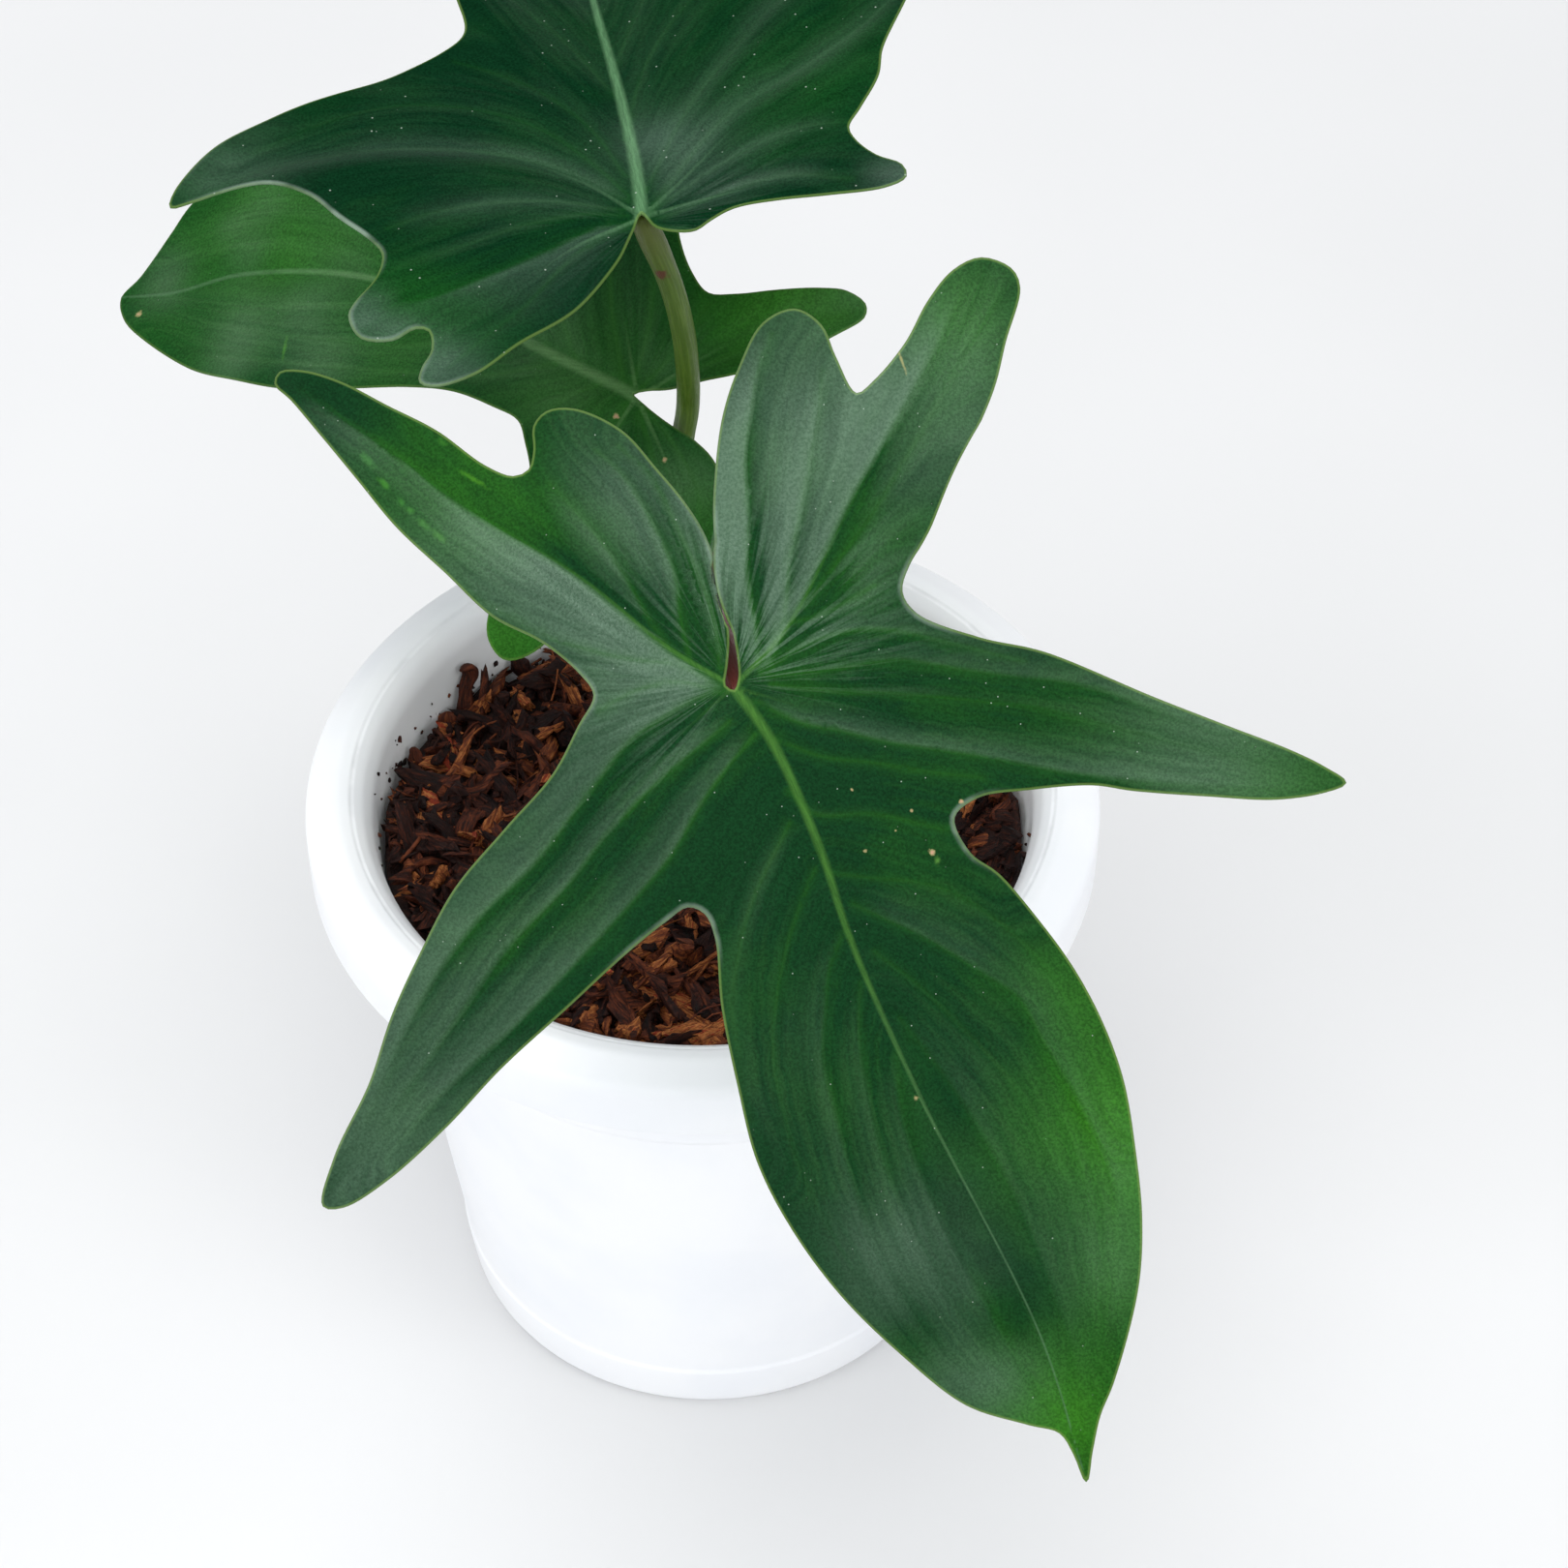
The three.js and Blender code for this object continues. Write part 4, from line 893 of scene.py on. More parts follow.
def leaf_look(name, blade):
    """The skin of a blade, from the numbers that each of its points carries."""
    look = Look(name, 0.4)
    look.shader.inputs["Specular Tint"].default_value = (0.82, 1.0, 0.88, 1.0)
    deep, fresh_and_glow, rib, painted_sheen_colour = (shade(*colour) for colour in blade["colours"])
    place, flat = look.place(), look.attribute("flat", "Vector")
    reach, under, edge, gloss_and_painted_sheen, spread, rolled_highlight = (
        look.attribute(key) for key in ("reach", "under", "edge", "gloss_and_painted_sheen", "spread", "rolled_highlight"))

    # fine lines that run with the side veins, a grain of cells, and streaks along the ribs
    along_veins = look.vector(look.attribute("flow") * 6.0, reach * 0.07)
    lines = look.faded(look.noise(along_veins, 1.0), spread)
    fine_lines = look.faded(look.noise(look.scaled(along_veins, (2.6, 1.6, 1)), 1.0), spread)
    cells = look.noise(place, 3200, 2.0, 0.6)
    clouds = look.noise(place, 60, 3.0, 0.55)
    rib_grain = look.noise(look.scaled(flat, (3.2, 0.35, 1)), 1.0, 3.0, 0.6)
    on_rib = look.ease(look.attribute("rib_gap"), 0.2, 1.5, 1.0, 0.0)
    on_rib = on_rib * look.ease(rib_grain, 0.35, 0.65, 0.68, 1.05)

    # fresh green: the leaf's own paler tone, and in places a painted glow of light through the blade
    tone = look.attribute("fresh_and_glow") + look.ease(clouds, 0.3, 0.75, -0.08, 0.14)
    tone = look.clamped(tone + look.ease(lines, 0.3, 0.7, -0.05, 0.07))
    colour = look.mix(tone, deep, fresh_and_glow)
    grain = look.ease(fine_lines, 0.3, 0.7, 0.9, 1.09) + look.ease(cells, 0.3, 0.7, -0.26, 0.26)
    colour = look.mix(1.0, colour, look.vector(grain, grain, grain), "MULTIPLY")

    # a grey-green sheen painted into the colour, streaked where the veins fan out from the petiole; the same
    # map raises the gloss
    rays = look.noise(look.vector(look.attribute("turn") * 17.0, reach * 0.06), 1.0, 3.0, 0.6)
    fan = look.ease(rays, 0.35, 0.68, -0.3, 0.5) * look.attribute("fan")
    streaks = look.ease(lines, 0.3, 0.7, -0.5, 0.5) * (gloss_and_painted_sheen * 0.3 + 0.04)
    sheen = look.clamped(gloss_and_painted_sheen + fan + streaks)
    # painted sheen: grey-green laid into the base colour where the sheen map is high
    colour = look.mix(sheen * 0.36, colour, painted_sheen_colour)
    floor, gain = blade["gloss"]
    look.set(Specular_IOR_Level=sheen * look.ease(cells, 0.3, 0.7, 0.7 * gain, 1.3 * gain) + floor)

    # creases, ribs that pale towards the tip, and the margin: thin and light, or rolled over with a painted
    # grey highlight
    colour = look.mix(look.attribute("crease") * 0.35, colour, fresh_and_glow)
    rib = look.mix(look.ease(reach, 30, 78, 0.0, 0.85), rib, shade(88, 124, 92))
    colour = look.mix(on_rib * look.attribute("rib_strength"), colour, rib)
    # the grey of a rolled-over margin is a painted highlight
    fold = look.ease(edge, 0.15, 0.65, 1.0, 0.0) * look.ease(look.noise(place, 260), 0.35, 0.6, 0.35, 1.0)
    colour = look.mix(fold * rolled_highlight, colour, shade(152, 172, 158))
    margin = look.ease(edge, 0.02, 0.26, blade["margin"], 0.0) * look.ease(rolled_highlight, 0.0, 0.6, 1.0, 0.25)
    colour = look.mix(margin, colour, shade(118, 148, 74))

    # the paler, duller underside
    below = look.mix(look.ease(clouds, 0.3, 0.7), shade(62, 100, 58), shade(78, 116, 66))
    below = look.mix(on_rib * 0.8, below, shade(122, 150, 88))
    colour = look.mix(under, colour, below)

    # tan marks with a pinkish middle, and long flecks of another colour
    ragged = look.ease(look.noise(place, 1500, 3.0, 0.6), 0.3, 0.7, -0.3, 0.3)
    for u, v, radius in blade["marks"]:
        gap = look.spot(u, v, radius, radius, 0) + ragged
        colour = look.mix(look.ease(gap, 0.5, 1.0, 0.75, 0.0), colour, shade(160, 150, 104))
        colour = look.mix(look.ease(gap, 0.15, 0.5, 0.8, 0.0), colour, shade(190, 146, 122))
    for *oval, fleck in blade["flecks"]:
        gap = look.spot(*oval) + ragged
        colour = look.mix(look.ease(gap, 0.0, 1.4, 0.6, 0.0), colour, shade(*fleck))

    # specks of pale dust on the upper side
    strength, size = blade["dust"]
    sparse = look.ease(look.noise(place, 240, 1.0), 0.5, 0.56)
    dust = look.dots(place, 620, 0.4 * size, size, strength) * sparse * (1.0 - under)
    colour = look.mix(dust, colour, shade(186, 200, 186))

    rough = look.ease(clouds, 0.3, 0.7, 0.36, 0.43) + under * 0.2 + look.ease(cells, 0.3, 0.7, -0.03, 0.05)
    look.set(Base_Color=colour, Roughness=rough)
    look.relief((lines, 0.03), (fine_lines, 0.012), (cells, 0.045))
    return look.material


def pot_look():
    """White plastic with a little dirt, and painted shade along the groove of the rim."""
    look = Look("white_plastic", 0.34)
    place = look.place()
    x, y, z = look.split(place)
    radius = look.math("SQRT", x * x + y * y)
    clouds = look.noise(place, 45, 3.0)
    colour = look.mix(look.ease(clouds, 0.35, 0.7), shade(249, 250, 252), shade(243, 245, 249))

    # painted shade along the groove of the rim, in broken lengths
    groove_shade = look.ease(look.math("ABSOLUTE", radius - GROOVE_RADIUS * MM), 0.1 * MM, 0.55 * MM, 1.0, 0.0)
    on_top = look.ease(z, (RIM_EDGE_Z + 0.5) * MM, (RIM_EDGE_Z + 1.2) * MM)
    broken = look.ease(look.noise(place, 120, 4.0), 0.42, 0.62)
    colour = look.mix(groove_shade * on_top * broken * 0.14, colour, shade(120, 118, 120))

    # a film and specks of it lie on the inner wall, just above the bark
    bark_line = z - y * SUBSTRATE_SLOPE
    near_bark = look.ease(bark_line, (SUBSTRATE_Z - 0.6) * MM, (SUBSTRATE_Z + 6.4) * MM, 1.0, 0.0)
    past_wall = radius - z * WALL_SLOPE
    inner = look.ease(past_wall, (BASE_INNER_RADIUS + 0.2) * MM, (BASE_INNER_RADIUS + 0.8) * MM, 1.0, 0.0)
    film = look.ease(look.noise(place, 160, 4.0, 0.6), 0.45, 0.75) * near_bark * inner
    colour = look.mix(film * 0.3, colour, shade(110, 98, 92))
    sparse = look.ease(look.noise(place, 130), 0.58, 0.66)
    dots = look.dots(place, 420, 0.1, 0.2) * sparse * inner * near_bark
    colour = look.mix(dots * 0.7, colour, shade(84, 70, 64))

    look.set(Base_Color=colour, Roughness=look.ease(clouds, 0.3, 0.7, 0.3, 0.42))
    look.relief((look.noise(place, 220), 0.05), (look.noise(place, 900), 0.012))
    return look.material


BARK_TONES = [
    (0.0, shade(17, 8, 9)), (0.3, shade(46, 21, 15)), (0.52, shade(88, 42, 26)), (0.7, shade(124, 65, 37)),
    (0.84, shade(168, 98, 50)), (0.93, shade(196, 126, 72)), (1.0, shade(142, 54, 32)),
]


def bark_look(name, spread):
    """Bark whose tone is set piece by piece, with grain along each piece."""
    look = Look(name, 0.7, specular=0.2)
    grain = look.attribute("grain", "Vector")
    long_grain = look.noise(look.scaled(grain, (0.35, 2.6, 1)), 1.0, 4.0, 0.65)
    flecks = look.noise(look.scaled(grain, (1.4, 3.0, 1)), 1.0, 3.0, 0.7)
    tone = look.attribute("tone") + look.ease(long_grain, 0.25, 0.75, -spread, spread)
    colour = look.ramp(look.clamped(tone), BARK_TONES)
    colour = look.mix(look.ease(flecks, 0.3, 0.55, 0.5, 0.0), colour, shade(16, 9, 9))
    look.set(Base_Color=colour, Roughness=look.ease(flecks, 0.3, 0.7, 0.55, 0.85))
    look.relief((long_grain, 0.5), (flecks, 0.25))
    return look.material


def bed_look():
    """Dark crumbs under the loose bark."""
    look = Look("bark_dust", 0.9)
    place = look.place()
    crumbs = look.noise(place, 700, 4.0, 0.7)
    clouds = look.noise(place, 130, 3.0)
    tone = look.ease(crumbs, 0.3, 0.7, 0.0, 0.35) + look.ease(clouds, 0.3, 0.7, 0.0, 0.15)
    look.set(Base_Color=look.ramp(tone, BARK_TONES))
    look.relief((crumbs, 1.0))
    return look.material


def stalk_look(name, colours, scars):
    """A petiole that changes from its low to its high colour, with fine streaks, a blush and scars."""
    look = Look(name, 0.42, specular=0.3)
    low, high, streak, blush = (shade(*colour) for colour in colours)
    grain = look.attribute("grain", "Vector")
    share = look.attribute("share")
    streaks = look.noise(look.scaled(grain, (2.2, 2.2, 0.16)), 1.0, 3.0, 0.6)
    flecks = look.noise(look.scaled(grain, (2.4, 2.4, 1.1)), 1.0, 3.0, 0.6)
    colour = look.mix(look.ease(share, 0.1, 0.95), low, high)
    colour = look.mix(look.ease(streaks, 0.42, 0.68, 0.0, 0.6), colour, streak)
    colour = look.mix(look.ease(flecks, 0.6, 0.74, 0.0, 0.4), colour, blush)
    colour = look.mix(look.ease(share, 0.82, 1.0, 0.0, 0.6), colour, blush)
    ragged = look.noise(look.place(), 900, 3.0, 0.6)
    for *place, size in scars:
        centre = tuple(c * MM for c in place)
        gap = look.node("VectorMath", {0: look.place(), 1: centre}, "Value", operation="DISTANCE")
        gap = gap + look.ease(ragged, 0.3, 0.7, -0.3 * size * MM, 0.3 * size * MM)
        colour = look.mix(look.ease(gap, 0.5 * size * MM, size * MM, 0.9, 0.0), colour, shade(84, 36, 24))
    look.set(Base_Color=colour, Roughness=look.ease(flecks, 0.3, 0.7, 0.36, 0.5))
    look.relief((streaks, 0.14), (flecks, 0.05))
    return look.material


def stem_look():
    """Green and brown skin with dry rings at the nodes and a dark foot."""
    look = Look("stem_bark", 0.6)
    grain = look.attribute("grain", "Vector")
    streaks = look.noise(look.scaled(grain, (1.6, 1.6, 0.25)), 1.0, 4.0, 0.65)
    clouds = look.noise(grain, 0.6, 3.0, 0.6)
    colour = look.mix(look.ease(clouds, 0.35, 0.65), shade(92, 104, 52), shade(116, 108, 66))
    colour = look.mix(look.ease(streaks, 0.5, 0.72, 0.0, 0.8), colour, shade(98, 72, 48))
    colour = look.mix(look.attribute("ring") * 0.9, colour, shade(112, 82, 56))
    height = look.split(look.place())[2]
    foot = look.ease(height, (SUBSTRATE_Z - 0.6) * MM, (SUBSTRATE_Z + 12.4) * MM, 0.75, 0.0)
    colour = look.mix(foot, colour, shade(72, 50, 36))
    look.set(Base_Color=colour, Roughness=look.ease(streaks, 0.3, 0.7, 0.5, 0.75))
    look.relief((streaks, 0.3), (look.noise(grain, 2.5, 3.0, 0.65), 0.12))
    return look.material


def floor_look():
    look = Look("pale_floor", 0.85)
    clouds = look.ease(look.noise(look.place(), 6), 0.3, 0.7)
    look.set(Base_Color=look.mix(clouds, (0.75, 0.75, 0.75, 1), (0.78, 0.78, 0.78, 1)))
    return look.material


# Pot


def inner_radius(z):
    """Inner wall radius of the pot at a height."""
    return BASE_INNER_RADIUS + WALL_SLOPE * (z - FLOOR_THICKNESS)


def rounded_profile(corners):
    """A profile through corners of radius, height and fillet, each fillet as a short arc."""
    points = []
    for k, (r, z, fillet) in enumerate(corners):
        corner = np.array([r, z], float)
        if fillet == 0:
            points.append(corner)
            continue
        before = np.array(corners[k - 1][:2], float) - corner
        after = np.array(corners[k + 1][:2], float) - corner
        cut = min(fillet, 0.45 * np.linalg.norm(before), 0.45 * np.linalg.norm(after))
        start = corner + before / np.linalg.norm(before) * cut
        end = corner + after / np.linalg.norm(after) * cut
        for t in np.linspace(0, 1, 6):
            points.append((1 - t) ** 2 * start + 2 * t * (1 - t) * corner + t**2 * end)
    return points


def holed_disc(rim, z):
    """A flat disc inside a ring of points, open at the drain holes, with the points round each hole."""
    centres = DRAIN_RING_RADIUS * circle(DRAIN_HOLE_COUNT)
    holes = [centre + DRAIN_HOLE_RADIUS * circle(DRAIN_HOLE_SEGMENTS) for centre in centres]
    starts = [len(rim) + k * DRAIN_HOLE_SEGMENTS for k in range(DRAIN_HOLE_COUNT)]
    loops = [list(range(start, start + DRAIN_HOLE_SEGMENTS)) for start in starts]
    edges = [edge for loop in loops for edge in zip(loop, loop[1:] + loop[:1])]
    flat, faces = triangulated(np.vstack([rim, *holes]).tolist(), edges, len(rim), 1e-6)
    middles = flat[faces].mean(1)
    from_hole = np.linalg.norm(middles[:, None] - centres[None], axis=2).min(1)
    faces = faces[from_hole > DRAIN_HOLE_RADIUS - 0.05]
    return np.column_stack([flat, np.full(len(flat), z)]), faces, loops


def joined(points, faces):
    """The same faces with points in one place made one point."""
    kept = {}
    numbers = [kept.setdefault(tuple(point), len(kept)) for point in np.round(points, 4)]
    return np.array(list(kept)), [tuple(numbers[i] for i in face) for face in faces]


def build_pot():
    """The pot's shell: its wall, rim and skirt turned from one profile, and a floor with drain holes."""
    skirt_bottom = RIM_EDGE_Z - SKIRT_DEPTH
    skirt_inner = RIM_RADIUS - SKIRT_THICKNESS
    under_band = RIM_EDGE_Z - WALL_THICKNESS
    wall_outer = WALL_TOP_RADIUS + WALL_THICKNESS

    def outer(z):
        return BASE_RADIUS + (wall_outer - BASE_RADIUS) * (z - 1.5) / (under_band - 2.5)

    # radius, height and fillet, from the foot out and up, over the rim and down the inside
    profile = rounded_profile([
        (BASE_RADIUS - 3.4, 0, 0),
        (BASE_RADIUS - 1.3, 0, 0.5),
        (outer(1.5), 1.5, 1.2),
        (outer(9), 9, 0.4),
        (outer(9.6) - 0.35, 9.6, 0.3),
        (outer(70) - 0.35, 70, 0.3),
        (outer(70.8), 70.8, 0.4),
        (wall_outer, under_band - 0.6, 1.2),
        (skirt_inner - 0.5, under_band - 0.2, 1.2),
        (skirt_inner, skirt_bottom + 0.1, 0.3),
        (RIM_RADIUS - 0.1, skirt_bottom, 0.5),
        (RIM_RADIUS, RIM_EDGE_Z + 0.3, 1.5),
        (CREST_RADIUS + 0.9, CREST_Z, 1.6),
        (CREST_RADIUS - 0.6, CREST_Z - 0.15, 0.15),
        (CREST_RADIUS - 0.95, CREST_Z - 0.36, 0.15),
        (CREST_RADIUS - 1.35, CREST_Z - 0.38, 0.2),
        (WALL_TOP_RADIUS + 1.1, RIM_EDGE_Z + 1.1, 0.8),
        (inner_radius(RIM_EDGE_Z - 1), RIM_EDGE_Z - 1, 1.2),
        (inner_radius(FLOOR_THICKNESS + 1), FLOOR_THICKNESS + 1, 0.8),
        (BASE_RADIUS - 4.2, FLOOR_THICKNESS, 0),
    ])
    ring = circle(POT_SEGMENTS)
    points = [np.column_stack([ring * r, np.full(POT_SEGMENTS, z)]) for r, z in profile]
    faces = stack_faces(len(profile), POT_SEGMENTS, capped=False)
    below, below_faces, below_holes = holed_disc(ring * profile[0][0], 0)
    above, above_faces, above_holes = holed_disc(ring * profile[-1][0], FLOOR_THICKNESS)
    first = len(profile) * POT_SEGMENTS
    second = first + len(below)
    faces += (below_faces[:, ::-1] + first).tolist() + (above_faces + second).tolist()
    for low, high in zip(below_holes, above_holes):
        faces += ring_faces([first + i for i in reversed(low)], [second + i for i in reversed(high)])
    points, faces = joined(np.vstack([*points, below, above]), faces)
    return make_piece("pot_shell", points, faces, "pot", "pot_plastic", pot_look(), sharp_degrees=38)


# Bark


def bark_height(x, y):
    """Height of the bark's surface, as in the solids."""
    broad = 1.1 * np.sin(0.13 * x + 0.6) * np.cos(0.11 * y - 0.4)
    rough = 0.5 * np.sin(0.43 * x + 0.31 * y) + 0.4 * np.cos(0.52 * y - 0.37 * x + 1)
    return SUBSTRATE_Z + SUBSTRATE_SLOPE * y + broad + rough


def build_bed():
    """The filled body of the mix under its loose pieces."""
    ring = circle(BED_SEGMENTS)
    bottom = FLOOR_THICKNESS + FIT_GAP
    edge = inner_radius(bottom + 1) - FIT_GAP
    points = [
        np.column_stack([ring * r, np.full(BED_SEGMENTS, z)])
        for r, z in ((8, bottom), (20, bottom), (edge - 1.2, bottom), (edge, bottom + 1))
    ]
    rim = inner_radius(SUBSTRATE_Z)
    for r in np.concatenate([[rim], np.arange(rim - BED_STEP, 1, -BED_STEP)]):
        x, y = (ring * r).T
        z = bark_height(x, y) - BED_SINK + 0.45 * np.sin(1.7 * x + 0.4 * y) * np.sin(1.3 * y - 0.7 * x)
        spread = (inner_radius(z) - FIT_GAP) / r if r == rim else 1
        points.append(np.column_stack([x * spread, y * spread, z]))
    faces = stack_faces(len(points), BED_SEGMENTS)
    return make_piece("bark_bed", np.vstack(points), faces, "substrate", "bark", bed_look())


def scatter(draw, count, reach, clear, half_length, yaw):
    """Places on the bark where bars of that half length and heading stay inside the wall and off the stem."""
    radius = reach * np.sqrt(draw.random(count))
    angle = draw.random(count) * 2 * math.pi
    x, y = radius * np.cos(angle), radius * np.sin(angle)
    for _ in range(4):
        for end in (-1, 1):
            tip_x, tip_y = x + end * half_length * np.cos(yaw), y + end * half_length * np.sin(yaw)
            out = np.hypot(tip_x, tip_y)
            excess = np.maximum(out - reach, 0) / np.maximum(out, 1e-6)
            x, y = x - tip_x * excess, y - tip_y * excess
    stem_x, stem_y = STEM_CENTRE
    from_stem = np.hypot(x - stem_x, y - stem_y)
    push = np.maximum(clear - from_stem, 0) / np.maximum(from_stem, 0.1)
    return x + (x - stem_x) * push, y + (y - stem_y) * push


def turned(points, yaw, pitch, roll):
    """Rows of points turned about X by roll, Y by pitch and then Z by yaw, one angle to a row."""
    x, y, z = np.moveaxis(points, -1, 0)
    yaw, pitch, roll = (np.reshape(a, (-1,) + (1,) * (x.ndim - 1)) for a in (yaw, pitch, roll))
    y, z = y * np.cos(roll) - z * np.sin(roll), y * np.sin(roll) + z * np.cos(roll)
    x, z = x * np.cos(pitch) + z * np.sin(pitch), -x * np.sin(pitch) + z * np.cos(pitch)
    x, y = x * np.cos(yaw) - y * np.sin(yaw), x * np.sin(yaw) + y * np.cos(yaw)
    return np.stack([x, y, z], axis=-1)


def squared(wave, power):
    """A cosine or sine pressed towards 1 and -1, for a bar that is less round."""
    return np.sign(wave) * np.abs(wave) ** power


def build_chips():
    """Shreds and chips of bark: flat bars with ragged ends, each with its own bend and tone."""
    draw = np.random.default_rng(41)
    count, rows, sides = CHIP_COUNT, 7, 8
    each = (count, 1, 1)
    length = 3.4 + 11 * draw.random(each) ** 2.4
    width = np.minimum(1.0 + 3.4 * draw.random(each) ** 1.6, 0.6 * length)
    thick = 0.7 + 1.1 * draw.random(each)
    yaw = draw.random(count) * 2 * math.pi
    pitch = 0.34 * draw.standard_normal(count)
    roll = 0.5 * draw.standard_normal(count)
    curl = 0.18 * draw.standard_normal(each)
    sway = 0.16 * draw.standard_normal(each)
    tone = np.clip(0.15 + 0.76 * draw.random(count) ** 1.5, 0, 1)
    rust = draw.random(count) < 0.05
    tone[rust] = 0.97 + 0.03 * draw.random(rust.sum())

    t = np.linspace(-1, 1, rows)[None, :, None]
    across, up = circle(sides).T
    taper = np.clip(1.1 - 0.5 * np.abs(t) ** 3, 0, 1)
    end_a, end_b = 0.5 + 0.5 * draw.random((2, *each))
    ends = 1 - (1 - np.where(t < 0, end_a, end_b)) * t**2
    half_width = 0.5 * width * ends * taper * (1 + 0.18 * draw.standard_normal((count, rows, 1)))
    rough = 1 + 0.16 * draw.standard_normal((count, rows, sides))
    x = 0.5 * length * t + 0.12 * length * draw.standard_normal((count, 1, sides)) * t**6
    y = half_width * squared(across, 0.7) * rough + sway * length * t**2
    z = 0.5 * thick * squared(up, 0.8) * rough * np.sqrt(taper) + curl * length * t**2
    grain = np.stack([x, y, z + 17.0 * np.arange(count)[:, None, None]], axis=-1).reshape(-1, 3)

    # place them, and press in what would pass through the wall
    half_length = 0.5 * length.ravel() * np.cos(pitch) + 0.4 * width.ravel()
    place = scatter(draw, count, inner_radius(SUBSTRATE_Z) - 1.1, STEM_RADIUS + 1.6, half_length, yaw)
    lift = -1.1 + 1.9 * draw.random(count)
    place = np.column_stack([*place, bark_height(*place) + lift])
    points = turned(np.stack([x, y, z], axis=-1), yaw, pitch, roll) + place[:, None, None, :]
    points = points.reshape(-1, 3)
    out = np.hypot(points[:, 0], points[:, 1])
    limit = inner_radius(points[:, 2]) - 0.25
    points[:, :2] *= np.minimum(1, limit / np.maximum(out, 1e-6))[:, None]

    grid = np.arange(count * rows * sides).reshape(count, rows, sides)
    after = np.roll(grid, -1, axis=2)
    quads = np.stack([grid[:, :-1], after[:, :-1], after[:, 1:], grid[:, 1:]], axis=-1).reshape(-1, 4)
    faces = quads.tolist() + grid[:, 0, ::-1].tolist() + grid[:, -1].tolist()
    return make_piece(
        "bark_chips", points, faces, None, "bark", bark_look("bark_chips", 0.26), sharp_degrees=50,
        tone=np.repeat(tone, rows * sides), grain=grain,
    )


def build_leaning():
    """Chips that stand against the wall of the pot."""
    bundle = Bundle()
    for k, (route, half_width, half_thick, tone) in enumerate(LEANING_CHIPS):
        places = []
        for degrees, z, inset in route:
            r, angle = inner_radius(z) - inset, math.radians(degrees)
            places.append((r * math.cos(angle), r * math.sin(angle), z))

        def radius_at(at, total, angles, centre):
            share = at / total
            end = math.sqrt(max(1 - (2 * share - 1) ** 6, 0.12))
            knots = 1 + 0.16 * math.sin(9 * share + k) + 0.1 * np.sin(3 * angles + 14 * share)
            return end * knots / np.hypot(np.cos(angles) / half_width, np.sin(angles) / half_thick)

        bundle.add(tube(places, radius_at, 0.35, 14), tone, half_width, 31.0 * k)
    return bundle.make("bark_leaning", 0.22)


def build_fibres():
    """Thin strands of bark that lie over the chips."""
    draw = random.Random(7)
    bundle = Bundle()
    rim = inner_radius(SUBSTRATE_Z)
    for k in range(FIBRE_COUNT):
        length = draw.uniform(5, 17)
        heading = draw.uniform(0, 2 * math.pi)
        thick = draw.uniform(0.14, 0.34)
        bend = draw.gauss(0, 0.5)
        radius = (rim - 2) * math.sqrt(draw.random())
        angle = draw.uniform(0, 2 * math.pi)
        route = []
        for share in (-0.5, -0.25, 0, 0.25, 0.5):
            turn = heading + bend * share * 2
            x = radius * math.cos(angle) + share * length * math.cos(turn)
            y = radius * math.sin(angle) + share * length * math.sin(turn)
            inward = min(1, (rim - 1.2) / math.hypot(x, y))
            x, y = x * inward, y * inward
            route.append((x, y, bark_height(x, y) + draw.uniform(-0.5, 1.3)))
        if min(math.dist((x, y), STEM_CENTRE) for x, y, _ in route) < STEM_RADIUS + 0.6:
            continue

        def radius_at(at, total, angles, centre):
            return thick * (1 - 0.5 * at / total) * np.ones(len(angles))

        bundle.add(tube(route, radius_at, 1.3, 5), draw.choice([0.2, 0.35, 0.5, 0.6, 0.75]), 0, 13.0 * k)
    return bundle.make("bark_fibres", 0.12)


